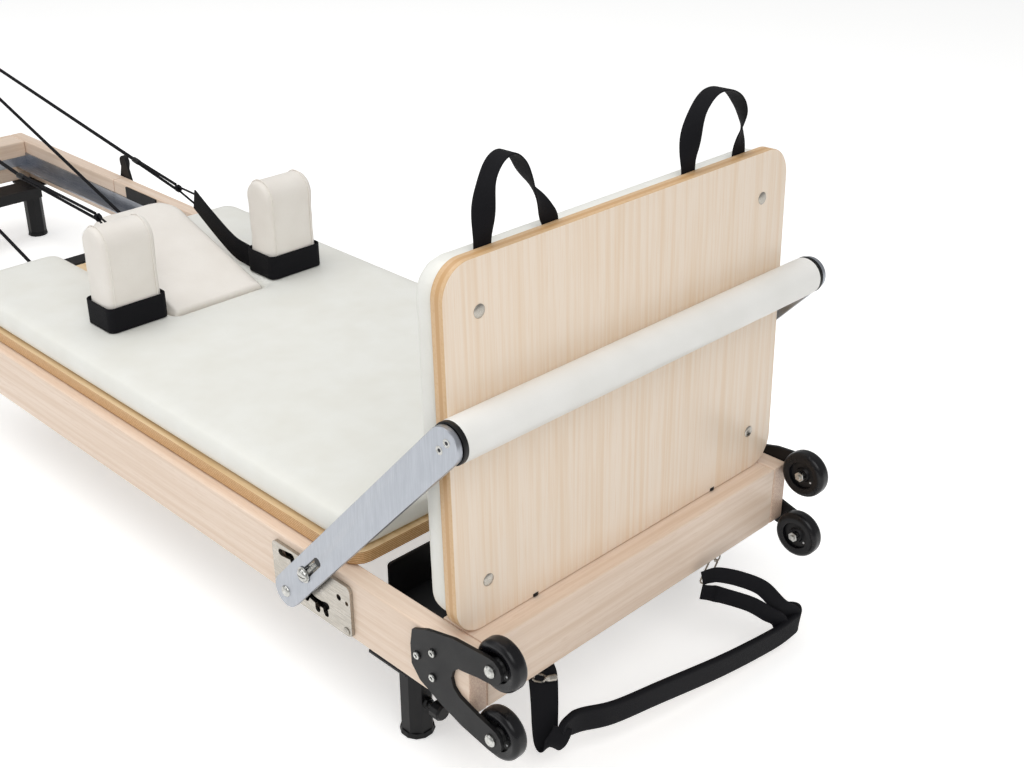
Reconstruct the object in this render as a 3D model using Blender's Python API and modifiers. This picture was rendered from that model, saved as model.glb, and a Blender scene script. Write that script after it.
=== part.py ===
"""Folding pilates reformer, metres, +Z up, +X towards the foot end.

The origin lies on the floor under the middle of the object, and the near side is -Y.
A distance is measured back from the foot end's face, and a height or a drop from the
rails' top, as at() and the sizes below say.
"""
import math

import bmesh
import bpy
from mathutils import Matrix, Vector

# Gap between neighbouring solids
SEAT = 0.0003
# How far two shapes of one body run into each other
OVERLAP = 0.001

# Wooden frame
FRAME_LENGTH = 2.360
FRAME_WIDTH = 0.650
RAIL_THICKNESS = 0.0303
RAIL_HEIGHT = 0.095
RAIL_TOP = 0.235
END_RAIL_WIDTH = 0.080
HEAD_RAIL_WIDTH = 0.075
EDGE_ROUND = 0.0025
STRAP_REACH = 0.1076

# Fold
FOLD_DISTANCE = 1.860
FOLD_GAP = 0.001
KNUCKLE_RISE = 0.036
KNUCKLE_RADIUS = 0.014
LEAF_THICKNESS = 0.005
LEAF_LENGTH = 0.100
LEAF_HEIGHT = 0.070
LEAF_BELOW_TOP = 0.010
LEAF_SLOPE = 0.030
HINGE_PIN_RADIUS = 0.0045
PIN_HEAD_RADIUS = 0.0080
PIN_HEAD_HEIGHT = 0.0035
BACKING_START = 0.060
BACKING_LENGTH = 0.125
BACKING_THICKNESS = 0.004

# Tracks inside the rails
TRACK_DROP = 0.060
TRACK_RISE = 0.030
TRACK_WALL = 0.003
TRACK_SHELF = 0.032
TRACK_CROSS_RISE = 0.022

# Carriage
CARRIAGE_START = 0.233
CARRIAGE_LENGTH = 1.162
CARRIAGE_WIDTH = 0.614
CARRIAGE_BOARD = 0.018
CARRIAGE_LIFT = 0.003
CARRIAGE_CORNER = 0.026
PAD_INSET = 0.0035
PAD_HEIGHT = 0.0432
PAD_EDGE = 0.015
NOTCH_DISTANCE = 0.977
NOTCH_CORNER = 0.005

# Carriage's wheels on their axles
ROLLER_RADIUS = 0.0155
ROLLER_WIDTH = 0.020
ROLLER_GAP = 0.004
AXLE_RADIUS = 0.005
AXLE_CLEARANCE = 0.0006
FRONT_AXLE_SETBACK = 0.120
REAR_AXLE_SETBACK = 0.075
HANGER_THICKNESS = 0.005
HANGER_LENGTH = 0.050
HANGER_DROP = 0.016
HANGER_FROM_RAIL = 0.045
CHASSIS_THICKNESS = 0.004
SPINE_WIDTH = 0.040
CLEAT_THICKNESS = 0.004
CLEAT_WIDTH = 0.028

# Springs parked under the carriage
SPRING_RADIUS = 0.011
SPRING_LENGTH = 0.300
SPRING_HOOK = 0.014
SPRING_SETBACK = 0.012
SPRING_SPREADS = (-0.135, -0.045, 0.045, 0.135)

# Headrest
HEADREST_LENGTH = 0.3065
HEADREST_WIDTH = 0.184
HEADREST_SEAM = 0.002
HEADREST_BOARD = 0.010
HEADREST_ANGLE = 18.0
HEADREST_CORNER = 0.045
HEADREST_EDGE = 0.010
HEADREST_FLOAT = 0.0006
RATCHET_RADIUS = 0.240
RATCHET_DEPTH = 0.005
RATCHET_WIDTH = 0.012
RATCHET_SPREAD = 0.080
RATCHET_END = 30.0
RATCHET_CLEARANCE = 0.0008

# Shoulder rests
REST_DISTANCE = 0.977
REST_THICKNESS = 0.072
REST_WIDTH = 0.104
REST_INNER = 0.112
REST_HEIGHT = 0.178
REST_EDGE = 0.006
POST_RADIUS = 0.006
POST_CLEARANCE = 0.0008
POST_SPACING = 0.050
POST_DEPTH = 0.058

# Hand loops and ropes
LOOP_THICKNESS = 0.003
LOOP_WIDTH = 0.044
LOOP_GAP = 0.0012
LOOP_CORNER = 0.008
TAIL_WIDTH = 0.036
TAIL_CORD_SHARE = 0.3
KNOT_RADIUS = 0.0075
CORD_RADIUS = 0.0020
CORD_SPREAD = 0.0035
ROPE_RADIUS = 0.0035
ROPE_CLEARANCE = 0.0008
SPLICE_RADIUS = 0.0055
SPLICE_LENGTH = 0.022
SPLICE_GAP = 0.0007

# Risers and pulleys on the head section
RISER_DISTANCE = 2.213
RISER_SPREAD = 0.120
RISER_SIZE = 0.030
RISER_TOP = 0.292
PULLEY_FORWARD = 0.047
PULLEY_HEIGHT = 0.274
PULLEY_RADIUS = 0.025
GROOVE_RADIUS = 0.019
PULLEY_WIDTH = 0.014
PULLEY_PIN_RADIUS = 0.004
CHEEK_THICKNESS = 0.004
CHEEK_RADIUS = 0.013

# Footbar
PIVOT_DISTANCE = 0.2896
PIVOT_BELOW = 0.0125
ARM_ANGLE = 47.5
ARM_REACH = 0.4160
ARM_TAIL = 0.0665
ARM_WIDTH = 0.048
ARM_THICKNESS = 0.008
ARM_GAP = 0.017
ARM_SLOT_REACH = 0.046
LIFT_TRAVEL = 0.012
SLOT_CLEARANCE = 0.0008
PIVOT_PIN_RADIUS = 0.006
PIVOT_COLLAR_RADIUS = 0.011
PIVOT_DOME_HEIGHT = 0.0068
CATCH_PIN_RADIUS = 0.0045
SLEEVE_RADIUS = 0.0265
SLEEVE_HALF = 0.3345
BAR_TUBE_RADIUS = 0.0165
BOSS_RADIUS = 0.0235
BOSS_HEIGHT = 0.004
CAP_LENGTH = 0.0025

# Footbar's catch plates
CATCH_START = 0.220
CATCH_LENGTH = 0.168
CATCH_HEIGHT = 0.080
CATCH_BELOW = 0.011
CATCH_THICKNESS = 0.005
CATCH_CORNER = 0.008
CATCH_ANGLES = (227.5, 245.8, 267.7, 283.9)
CATCH_CHANNEL_START = 188.5
CATCH_CHANNEL_END = 290.0
CATCH_LONG_NOTCH = 0.080
CATCH_PIN_CLEARANCE = 0.001
POCKET_DEPTH = 0.008
POCKET_MARGIN = 0.004
POCKET_HEAD_MARGIN = 0.0135
POCKET_FOOT_MARGIN = 0.018

# Jump board
JUMP_SETBACK = 0.0287
JUMP_TILT = 1.75
JUMP_SIDE_GAP = 0.009
JUMP_HEIGHT = 0.481
JUMP_PLY = 0.020
JUMP_PAD = 0.038
JUMP_CORNER = 0.042
JUMP_PAD_INSET = 0.004
JUMP_PAD_EDGE = 0.014
BOLT_SPREAD = 0.262
BOLT_LOW = 0.064
BOLT_HIGH = 0.417
DOME_RADIUS = 0.0085
DOME_HEIGHT = 0.0022
PEG_SPREAD = 0.181
PEG_DEPTH = 0.040
PEG_RADIUS = 0.005
PEG_CLEARANCE = 0.0008
PEG_COLLAR_RADIUS = 0.0080
PEG_COLLAR_HEIGHT = 0.0045
PEG_SETBACK = 0.0063
GRAB_WIDTH = 0.027
GRAB_THICKNESS = 0.002
GRAB_SPREAD = 0.180
GRAB_FOOT = 0.020
GRAB_TWIST_HEIGHT = 0.080

# Transport wheels
WHEEL_RADIUS = 0.035
WHEEL_WIDTH = 0.023
WHEEL_CORNER = 0.0075
HUB_RADIUS = 0.0205
HUB_BOSS_RADIUS = 0.0105
HUB_HALF = 0.0095
HUB_SUNK = 0.0035
WHEEL_PLATE = 0.005
WHEEL_ARM_END = 0.0185
WHEEL_FORWARD = 0.042
UPPER_WHEEL_RISE = 0.0048
LOWER_WHEEL_DROP = 0.0989
WHEEL_SIDE_GAP = 0.0033
WHEEL_BOLT_RADIUS = 0.004
WHEEL_BORE_CLEARANCE = 0.0004
WHEEL_SPACER_RADIUS = 0.0072

# Legs
LEG_RADIUS = 0.0225
LEG_SIDE = 0.277
FOOT_LEG_DISTANCE = 0.157
MIDDLE_LEG_DISTANCE = 1.700
HEAD_LEG_DISTANCE = 2.255
FLANGE_THICKNESS = 0.006
FLANGE_LENGTH = 0.075
FOOT_THICKNESS = 0.008
KNOB_HEIGHT = 0.058
KNOB_RADIUS = 0.0125
KNOB_LENGTH = 0.018
KNOB_STUD = 0.016
STAND_BEAM = 0.040
STAND_BEAM_HEIGHT = 0.025
STUD_RADIUS = 0.0045
NUT_RADIUS = 0.0080
NUT_HEIGHT = 0.006

# Screws
SCREW_HEAD = 0.0062
SCREW_DOME = 0.0027

# Spring bar: a tray with a flange at its head edge
TRAY_START = 0.085
TRAY_LENGTH = 0.140
TRAY_DROP = 0.070
TRAY_THICKNESS = 0.006
TRAY_FLANGE = 0.060
TRAY_FLANGE_THICKNESS = 0.004
TRAY_SLOT_WIDTH = 0.026
TRAY_SLOT_LENGTH = 0.090
HOOK_HOLE_RADIUS = 0.006

# Foot strap and the eyes that hold it
EYE_RADIUS = 0.0065
EYE_WIRE = 0.0014
EYE_SHANK = 0.004
EYE_SETBACK = 0.010
LINK_HALF = 0.0055
BARREL_RADIUS = 0.0045
BARREL_LENGTH = 0.017
WEBBING_THICKNESS = 0.0022
BAND_WIDTH = 0.040
BAND_THICKNESS = 0.009

SIDES = {"near": -1, "far": 1}

LOOKS = {
    "maple": ((0.78, 0.62, 0.48), 0.45, 0.0),
    "plywood": ((0.72, 0.50, 0.27), 0.50, 0.0),
    "laminate": ((0.91, 0.76, 0.60), 0.40, 0.0),
    "cream": ((0.85, 0.84, 0.78), 0.45, 0.0),
    "black_steel": ((0.012, 0.012, 0.013), 0.45, 0.4),
    "aluminium": ((0.42, 0.43, 0.46), 0.35, 1.0),
    "stainless": ((0.50, 0.48, 0.45), 0.30, 1.0),
    "zinc": ((0.62, 0.62, 0.60), 0.30, 1.0),
    "rubber": ((0.010, 0.010, 0.012), 0.30, 0.0),
    "webbing": ((0.006, 0.006, 0.007), 0.85, 0.0),
    "nylon": ((0.020, 0.020, 0.020), 0.50, 0.0),
}

# Places worked out from the sizes above
FOOT_FACE = (FRAME_LENGTH - STRAP_REACH) / 2
HEAD_FACE = FOOT_FACE - FRAME_LENGTH
HALF_WIDTH = FRAME_WIDTH / 2
RAIL_INNER = HALF_WIDTH - RAIL_THICKNESS
RAIL_BOTTOM = RAIL_TOP - RAIL_HEIGHT
CROSS_HALF = RAIL_INNER - SEAT
FOLD_X = FOOT_FACE - FOLD_DISTANCE
FOLD_Z = RAIL_TOP + KNUCKLE_RISE
FOLD_AXIS = (FOLD_X, 0.0, FOLD_Z)
SHELF_TOP = RAIL_TOP - TRACK_DROP + TRACK_WALL
CARRIAGE_X = FOOT_FACE - CARRIAGE_START
BOARD_BOTTOM = RAIL_TOP + CARRIAGE_LIFT
BOARD_TOP = BOARD_BOTTOM + CARRIAGE_BOARD
PAD_BOTTOM = BOARD_TOP + SEAT
PAD_TOP = PAD_BOTTOM + PAD_HEIGHT
REST_X = FOOT_FACE - REST_DISTANCE
AXLE_Z = SHELF_TOP + SEAT + ROLLER_RADIUS
ROLLER_OUTER = CROSS_HALF - TRACK_WALL - ROLLER_GAP
HEADREST_PIVOT = (FOOT_FACE - NOTCH_DISTANCE - HEADREST_SEAM, 0.0, PAD_TOP)
PULLEY_X = FOOT_FACE - RISER_DISTANCE + PULLEY_FORWARD
PULLEY_Z = RAIL_TOP + PULLEY_HEIGHT
PIVOT = (FOOT_FACE - PIVOT_DISTANCE, RAIL_TOP - PIVOT_BELOW)
PIVOT_AXIS = (PIVOT[0], 0.0, PIVOT[1])
ARM_PLANE = HALF_WIDTH + ARM_GAP
JUMP_HALF = HALF_WIDTH - JUMP_SIDE_GAP
CATCH_FACE = HALF_WIDTH + SEAT + CATCH_THICKNESS
CATCH_TOP = RAIL_TOP - CATCH_BELOW
WHEEL_Y = HALF_WIDTH - WHEEL_SIDE_GAP - WHEEL_WIDTH / 2
PLATE_FACE = HALF_WIDTH + SEAT + WHEEL_PLATE
LEG_FACE = FOOT_FACE - FOOT_LEG_DISTANCE + LEG_RADIUS * math.cos(math.radians(22.5))

# Routes, as distance back, place across and height over the rails' top
FAR_TAIL = ((1.0520, 0.117, 0.088), (1.095, 0.112, 0.098), (1.165, 0.118, 0.122), (1.245, 0.130, 0.148))
FAR_KNOT = (1.300, 0.130, 0.156)
FAR_SPLICE = (1.445, 0.129, 0.178)
NEAR_TAIL = ((1.0520, -0.117, 0.088), (1.075, -0.112, 0.105), (1.105, -0.108, 0.140), (1.138, -0.105, 0.170))
NEAR_KNOT = (1.187, -0.104, 0.187)
NEAR_SPLICE = (1.440, -0.116, 0.205)
ROPE_END = (1.4008, 0.120, 0.012)

# Grab loops, as place across and height over the jump board's top edge
NEAR_GRAB = ((-0.054, 0.0), (-0.052, 0.025), (-0.049, 0.052), (-0.042, 0.077), (-0.029, 0.093), (-0.012, 0.097),
             (0.003, 0.086), (0.014, 0.067), (0.026, 0.046), (0.039, 0.027), (0.048, 0.012), (0.054, 0.0))
FAR_GRAB = ((-0.0525, 0.0), (-0.0525, 0.026), (-0.0465, 0.055), (-0.034, 0.078), (-0.0135, 0.093), (0.012, 0.094),
            (0.037, 0.082), (0.053, 0.060), (0.056, 0.036), (0.0545, 0.018), (0.0525, 0.0))

# Foot strap, as place before the foot face, place across and drop under the rails' top
NEAR_EYE = (-0.196, (0.006, -0.197, 0.1035))
FAR_EYE = (0.181, (0.014, 0.117, 0.1080))
BARREL_END = (0.010, -0.181, 0.107)
NEAR_WEBBING = ((0.004, -0.196, 0.1125), (0.008, -0.202, 0.145), (0.014, -0.208, 0.178), (0.021, -0.211, 0.200),
                (0.029, -0.212, 0.2065), (0.0355, -0.2135, 0.2035), (0.0375, -0.214, 0.1955),
                (0.0360, -0.2135, 0.1840))
FAR_UPPER_WEBBING = ((0.015, 0.1125, 0.0965), (0.021, 0.122, 0.094), (0.030, 0.133, 0.093), (0.050, 0.155, 0.101),
                     (0.072, 0.180, 0.118), (0.090, 0.200, 0.148), (0.0985, 0.222, 0.168), (0.1005, 0.224, 0.179))
FAR_LOWER_WEBBING = ((0.015, 0.1125, 0.1195), (0.026, 0.123, 0.1215), (0.040, 0.130, 0.122), (0.068, 0.160, 0.138),
                     (0.086, 0.182, 0.158), (0.093, 0.196, 0.170), (0.097, 0.200, 0.181))
FOOT_BAND = ((0.035, -0.220, 0.183), (0.034, -0.204, 0.179), (0.038, -0.180, 0.166), (0.058, -0.125, 0.171),
             (0.074, -0.046, 0.173), (0.088, 0.073, 0.187), (0.0965, 0.180, 0.196), (0.1005, 0.222, 0.192),
             (0.100, 0.236, 0.189), (0.092, 0.244, 0.187), (0.083, 0.238, 0.186), (0.080, 0.228, 0.186))

PARTS = bpy.data.collections.new("folding_pilates_reformer")
CUTTERS = bpy.data.collections.new("cutters")


def at(distance, y, height):
    """A point this far back from the foot face and this high over the rails' top."""
    return Vector((FOOT_FACE - distance, y, RAIL_TOP + height))


def start_scene():
    """Empties the scene and links the two collections."""
    for item in list(bpy.data.objects):
        bpy.data.objects.remove(item, do_unlink=True)
    for collection in (PARTS, CUTTERS):
        bpy.context.scene.collection.children.link(collection)


def make_material(object_name, kind):
    """One object's own Principled material, in one of the finishes listed above."""
    colour, roughness, metallic = LOOKS[kind]
    material = bpy.data.materials.new(object_name + "_" + kind)
    material.use_nodes = True
    shader = material.node_tree.nodes["Principled BSDF"]
    shader.inputs["Base Color"].default_value = (*colour, 1.0)
    shader.inputs["Roughness"].default_value = roughness
    shader.inputs["Metallic"].default_value = metallic
    material.diffuse_color = (*colour, 1.0)
    return material


def mesh_part(name, bm, kind, origin=(0.0, 0.0, 0.0), smooth_angle=30.0):
    """Turns a bmesh in world places into a part whose origin is given."""
    bmesh.ops.recalc_face_normals(bm, faces=bm.faces)
    bmesh.ops.translate(bm, verts=bm.verts, vec=-Vector(origin))
    mesh = bpy.data.meshes.new(name)
    bm.to_mesh(mesh)
    bm.free()
    mesh.materials.append(make_material(name, kind))
    mesh.shade_smooth()
    mesh.set_sharp_from_angle(angle=math.radians(smooth_angle))
    item = bpy.data.objects.new(name, mesh)
    PARTS.objects.link(item)
    item.location = origin
    return item


def boolean(target, tool, operation="DIFFERENCE"):
    """Cuts the tool out of the target, or joins it on."""
    PARTS.objects.unlink(tool)
    CUTTERS.objects.link(tool)
    tool.hide_render = True
    tool.display_type = "WIRE"
    modifier = target.modifiers.new(tool.name, "BOOLEAN")
    modifier.operation = operation
    # The exact solver leaves open edges where round bolts join the wheel plates
    modifier.solver = "EXACT" if operation == "DIFFERENCE" else "MANIFOLD"
    modifier.object = tool


def joined_part(name, pieces, kind, origin=(0.0, 0.0, 0.0), smooth_angle=30.0):
    """One body from closed pieces that run into each other."""
    body = mesh_part(name, pieces[0], kind, origin, smooth_angle)
    for index, piece in enumerate(pieces[1:]):
        boolean(body, mesh_part(f"{name}_piece_{index}", piece, kind, origin, smooth_angle), "UNION")
    return body


def merge_in(bm, extra):
    """Adds another bmesh's bodies to the first."""
    mesh = bpy.data.meshes.new("merge")
    extra.to_mesh(mesh)
    extra.free()
    bm.from_mesh(mesh)
    bpy.data.meshes.remove(mesh)


def add_box(bm, low, high, round_by=0.0, segments=2):
    """Adds a box between two corners, its edges rounded if asked."""
    low, high = Vector(low), Vector(high)
    size = high - low
    piece = bmesh.new()
    place = Matrix.Translation((low + high) / 2) @ Matrix.Diagonal((*size, 1.0))
    bmesh.ops.create_cube(piece, size=1.0, matrix=place)
    if round_by > 0:
        bmesh.ops.bevel(piece, geom=piece.edges[:], offset=round_by, segments=segments, profile=0.5,
                        affect="EDGES", material=-1)
    merge_in(bm, piece)


def add_side_box(bm, x_range, y_range, z_range, sign, round_by=0.0):
    """Adds a box whose distance across is given for the far side and mirrored for the near one."""
    low, high = sorted((sign * y_range[0], sign * y_range[1]))
    add_box(bm, (x_range[0], low, z_range[0]), (x_range[1], high, z_range[1]), round_by, 1)


def box_part(name, low, high, kind, origin=(0.0, 0.0, 0.0)):
    """A box with softly rounded edges as a part of its own."""
    bm = bmesh.new()
    add_box(bm, low, high, EDGE_ROUND)
    return mesh_part(name, bm, kind, origin)


def add_rod(bm, start, end, radius, segments=12):
    """Adds a capped cylinder between two points."""
    start, end = Vector(start), Vector(end)
    run = end - start
    turn = Vector((0, 0, 1)).rotation_difference(run).to_matrix().to_4x4()
    place = Matrix.Translation((start + end) / 2) @ turn
    bmesh.ops.create_cone(bm, cap_ends=True, segments=segments, radius1=radius, radius2=radius,
                          depth=run.length, matrix=place)


def add_turned(bm, profile, start, direction, segments=12, ring=False):
    """Adds a body turned round an axis, from (distance along it, radius) points.

    A ring's profile is closed and keeps its bore; any other ends on the axis.
    """
    start, axis = Vector(start), Vector(direction).normalized()
    side = axis.orthogonal().normalized()
    points = list(profile)
    if not ring:
        points = [(points[0][0], 0.0)] + points + [(points[-1][0], 0.0)]
    piece = bmesh.new()
    verts = [piece.verts.new(start + axis * along + side * radius) for along, radius in points]
    pairs = list(zip(verts, verts[1:]))
    if ring:
        pairs.append((verts[-1], verts[0]))
    edges = [piece.edges.new(pair) for pair in pairs]
    bmesh.ops.spin(piece, geom=verts + edges, cent=start, axis=axis, angle=2 * math.pi, steps=segments,
                   use_merge=True)
    bmesh.ops.remove_doubles(piece, verts=piece.verts, dist=0.000001)
    bmesh.ops.recalc_face_normals(piece, faces=piece.faces)
    merge_in(bm, piece)


def screw_part(name, profile, centre, kind, segments=18):
    """A ring turned round an axis along Y, from (radius, place along it) points, as a Screw."""
    bm = bmesh.new()
    verts = [bm.verts.new((radius, 0.0, along)) for radius, along in profile]
    for pair in zip(verts, verts[1:] + verts[:1]):
        bm.edges.new(pair)
    item = mesh_part(name, bm, kind)
    screw = item.modifiers.new("turn", "SCREW")
    screw.steps = segments
    screw.render_steps = segments
    screw.use_merge_vertices = True
    screw.merge_threshold = 0.00001
    screw.use_smooth_shade = True
    item.location = centre
    item.rotation_euler = (math.radians(90), 0.0, 0.0)
    return item


def arc(centre, radius, start, end, steps):
    """Points on an arc, angles in degrees, both ends included."""
    points = []
    for index in range(steps + 1):
        angle = math.radians(start + (end - start) * index / steps)
        points.append((centre[0] + radius * math.cos(angle), centre[1] + radius * math.sin(angle)))
    return points


def circle(centre, radius, steps=10):
    """A circle's outline."""
    return arc(centre, radius, 0.0, 360.0 * (steps - 1) / steps, steps - 1)


def rounded(corners, radii, steps=4):
    """A closed outline with each corner rounded by its own radius."""
    points = []
    count = len(corners)
    for index, corner in enumerate(corners):
        here = Vector(corner)
        radius = radii[index]
        if radius <= 0:
            points.append(tuple(here))
            continue
        before = (Vector(corners[index - 1]) - here).normalized()
        after = (Vector(corners[(index + 1) % count]) - here).normalized()
        half = before.angle(after) / 2
        centre = here + (before + after).normalized() * (radius / math.sin(half))
        first = here + before * (radius / math.tan(half)) - centre
        sweep = math.pi - 2 * half
        if before.x * after.y - before.y * after.x > 0:
            sweep = -sweep
        start = math.degrees(math.atan2(first.y, first.x))
        points += arc(centre, radius, start, start + math.degrees(sweep), steps)
    return points


def rectangle(x0, y0, x1, y1, radius, steps=4):
    """A rounded rectangle's outline."""
    return rounded([(x0, y0), (x1, y0), (x1, y1), (x0, y1)], [radius] * 4, steps)


def slot_outline(start, end, radius, steps=6):
    """The outline of a straight slot with round ends."""
    angle = math.degrees(math.atan2(end[1] - start[1], end[0] - start[0]))
    return arc(start, radius, angle + 90, angle + 270, steps) + arc(end, radius, angle - 90, angle + 90, steps)


def curve_mesh(data):
    """A curve's evaluated mesh, its caps welded, as a bmesh. The curve is removed."""
    item = bpy.data.objects.new("guide", data)
    PARTS.objects.link(item)
    bpy.context.view_layer.update()
    evaluated = item.evaluated_get(bpy.context.evaluated_depsgraph_get())
    mesh = bpy.data.meshes.new_from_object(evaluated)
    bpy.data.objects.remove(item, do_unlink=True)
    bm = bmesh.new()
    bm.from_mesh(mesh)
    bpy.data.meshes.remove(mesh)
    bmesh.ops.remove_doubles(bm, verts=bm.verts, dist=0.00001)
    return bm


def plate(outlines, thickness, place):
    """A flat plate from closed outlines, the inner ones as holes, put in place by a matrix."""
    data = bpy.data.curves.new("outline", "CURVE")
    data.dimensions = "2D"
    data.fill_mode = "BOTH"
    data.extrude = thickness / 2
    for outline in outlines:
        spline = data.splines.new("POLY")
        spline.points.add(len(outline) - 1)
        for point, (x, y) in zip(spline.points, outline):
            point.co = (x, y, 0.0, 1.0)
        spline.use_cyclic_u = True
    bm = curve_mesh(data)
    bmesh.ops.transform(bm, matrix=place, verts=bm.verts)
    bmesh.ops.recalc_face_normals(bm, faces=bm.faces)
    return bm


def tube(path, radius, resolution=2, closed=False):
    """A round tube along a path, its ends capped."""
    data = bpy.data.curves.new("path", "CURVE")
    data.dimensions = "3D"
    data.bevel_depth = radius
    data.bevel_resolution = resolution
    data.use_fill_caps = True
    spline = data.splines.new("POLY")
    spline.points.add(len(path) - 1)
    for point, place in zip(spline.points, path):
        point.co = (*place, 1.0)
    spline.use_cyclic_u = closed
    bm = curve_mesh(data)
    bmesh.ops.recalc_face_normals(bm, faces=bm.faces)
    return bm


def facing_y(y):
    """Stands an outline upright: its X and Y become the frame's X and Z in the plane at y."""
    return Matrix.Translation((0, y, 0)) @ Matrix.Rotation(math.radians(90), 4, "X")


def facing_x(x):
    """Stands an outline upright: its X and Y become the frame's Y and Z in the plane at x."""
    turn = Matrix.Rotation(math.radians(90), 4, "Z") @ Matrix.Rotation(math.radians(90), 4, "X")
    return Matrix.Translation((x, 0, 0)) @ turn


def flat_at(z):
    """Lays an outline flat in the plane at z."""
    return Matrix.Translation((0, 0, z))


def smooth_path(points, per_leg=4):
    """Points read from a smooth curve through the route's own points."""
    spots = [Vector(point) for point in points]
    count = len(spots)
    path = []
    for leg in range(count - 1):
        first, second = spots[leg], spots[leg + 1]
        before = spots[leg - 1] if leg > 0 else first * 2 - second
        after = spots[leg + 2] if leg + 2 < count else second * 2 - first
        for step in range(per_leg):
            t = step / per_leg
            path.append(0.5 * (2 * first + (second - before) * t
                               + (2 * before - 5 * first + 4 * second - after) * t ** 2
                               + (3 * first - before - 3 * second + after) * t ** 3))
    path.append(spots[-1])
    return path


def add_strip(bm, path, across, closed=False):
    """Adds an open strip of cloth: the path swept along each point's own vector across."""
    piece = bmesh.new()
    lower = [piece.verts.new(point - side / 2) for point, side in zip(path, across)]
    pairs = list(zip(lower, lower[1:]))
    if closed:
        pairs.append((lower[-1], lower[0]))
    edges = [piece.edges.new(pair) for pair in pairs]
    bmesh.ops.extrude_edge_only(piece, edges=edges)
    kept = set(lower)
    for vert, side in zip(lower, across):
        for edge in vert.link_edges:
            other = edge.other_vert(vert)
            if other not in kept:
                other.co += side
    merge_in(bm, piece)


def thicken(item, thickness):
    """Gives an open strip its thickness, half to each side."""
    solid = item.modifiers.new("thickness", "SOLIDIFY")
    solid.thickness = thickness
    solid.offset = 0.0
    solid.use_even_offset = True
    solid.use_rim = True


def baked(item):
    """An object's evaluated mesh in world places, as a bmesh. The object is removed."""
    bpy.context.view_layer.update()
    evaluated = item.evaluated_get(bpy.context.evaluated_depsgraph_get())
    mesh = bpy.data.meshes.new_from_object(evaluated)
    mesh.transform(item.matrix_world)
    bpy.data.objects.remove(item, do_unlink=True)
    bm = bmesh.new()
    bm.from_mesh(mesh)
    bpy.data.meshes.remove(mesh)
    return bm


def inset_outline(outline, inset):
    """An outline moved inwards along its corners' bisectors."""
    count = len(outline)
    area = sum(outline[i - 1][0] * outline[i][1] - outline[i][0] * outline[i - 1][1] for i in range(count))
    turn = math.copysign(1.0, area)
    moved = []
    for index in range(count):
        here = Vector(outline[index])
        before = here - Vector(outline[index - 1])
        after = Vector(outline[(index + 1) % count]) - here
        first = Vector((-before.y, before.x)).normalized() * turn
        second = Vector((-after.y, after.x)).normalized() * turn
        middle = (first + second).normalized()
        moved.append(here + middle * (inset / max(0.5, middle.dot(first))))
    return moved


def cushion(outline, levels, place):
    """A padded form: the outline at each (inset, height) level, bridged and capped."""
    bm = bmesh.new()
    rings = []
    for inset, height in levels:
        verts = [bm.verts.new((x, y, height)) for x, y in inset_outline(outline, inset)]
        rings.append([bm.edges.new(pair) for pair in zip(verts, verts[1:] + verts[:1])])
    for lower, upper in zip(rings, rings[1:]):
        bmesh.ops.bridge_loops(bm, edges=lower + upper)
    for ring in (rings[0], rings[-1]):
        bmesh.ops.edgeloop_fill(bm, edges=ring)
    bmesh.ops.transform(bm, matrix=place, verts=bm.verts)
    bmesh.ops.recalc_face_normals(bm, faces=bm.faces)
    return bm


def pad_levels(height, edge):
    """Sides drawn in at the seam below, a soft shoulder and a crowned top."""
    return [(0.0030, 0.0), (0.0004, 0.20 * height), (0.0, 0.5 * height), (0.0012, height - 0.75 * edge),
            (0.28 * edge, height - 0.34 * edge), (0.70 * edge, height - 0.12 * edge),
            (1.35 * edge, height - 0.02 * edge), (1.60 * edge, height)]


def strip_body(path, across, thickness, closed=False):
    """A strip of cloth of the given thickness as a closed body."""
    bm = bmesh.new()
    add_strip(bm, path, across, closed)
    item = mesh_part("strip", bm, "webbing")
    thicken(item, thickness)
    return baked(item)


def turned(profile, start, direction, segments=12, ring=False):
    """A turned body as a bmesh of its own."""
    bm = bmesh.new()
    add_turned(bm, profile, start, direction, segments, ring)
    return bm


def rod(start, end, radius, segments=12):
    """A cylinder as a bmesh of its own."""
    bm = bmesh.new()
    add_rod(bm, start, end, radius, segments)
    return bm


def side_box(x_range, y_range, z_range, sign, round_by=0.0):
    """A box on one side as a bmesh of its own."""
    bm = bmesh.new()
    add_side_box(bm, x_range, y_range, z_range, sign, round_by)
    return bm


def screw_head(x, y, z, direction):
    """A domed screw head that stands on a plate's face and runs a little into it."""
    profile = [(-OVERLAP, SCREW_HEAD), (0.4 * SCREW_DOME, SCREW_HEAD), (SCREW_DOME, 0.55 * SCREW_HEAD)]
    return turned(profile, (x, y, z), direction, 8)


# Wooden frame


def build_side_rails():
    """Two rails of the foot section, with pockets behind the catch plates, and two of the head."""
    for side, sign in SIDES.items():
        inner, outer = sorted((sign * RAIL_INNER, sign * HALF_WIDTH))
        rail = box_part(side + "_side_rail", (FOLD_X + FOLD_GAP / 2, inner, RAIL_BOTTOM),
                        (FOOT_FACE, outer, RAIL_TOP), "maple")
        pocket = side_box((FOOT_FACE - CATCH_START - CATCH_LENGTH + POCKET_HEAD_MARGIN,
                           FOOT_FACE - CATCH_START - POCKET_FOOT_MARGIN),
                          (HALF_WIDTH - POCKET_DEPTH, HALF_WIDTH + POCKET_DEPTH),
                          (CATCH_TOP - CATCH_HEIGHT + POCKET_MARGIN, CATCH_TOP - POCKET_MARGIN), sign)
        boolean(rail, mesh_part(side + "_pocket", pocket, "maple"))
        box_part(side + "_head_rail", (HEAD_FACE, inner, RAIL_BOTTOM),
                 (FOLD_X - FOLD_GAP / 2, outer, RAIL_TOP), "maple", FOLD_AXIS)


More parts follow.
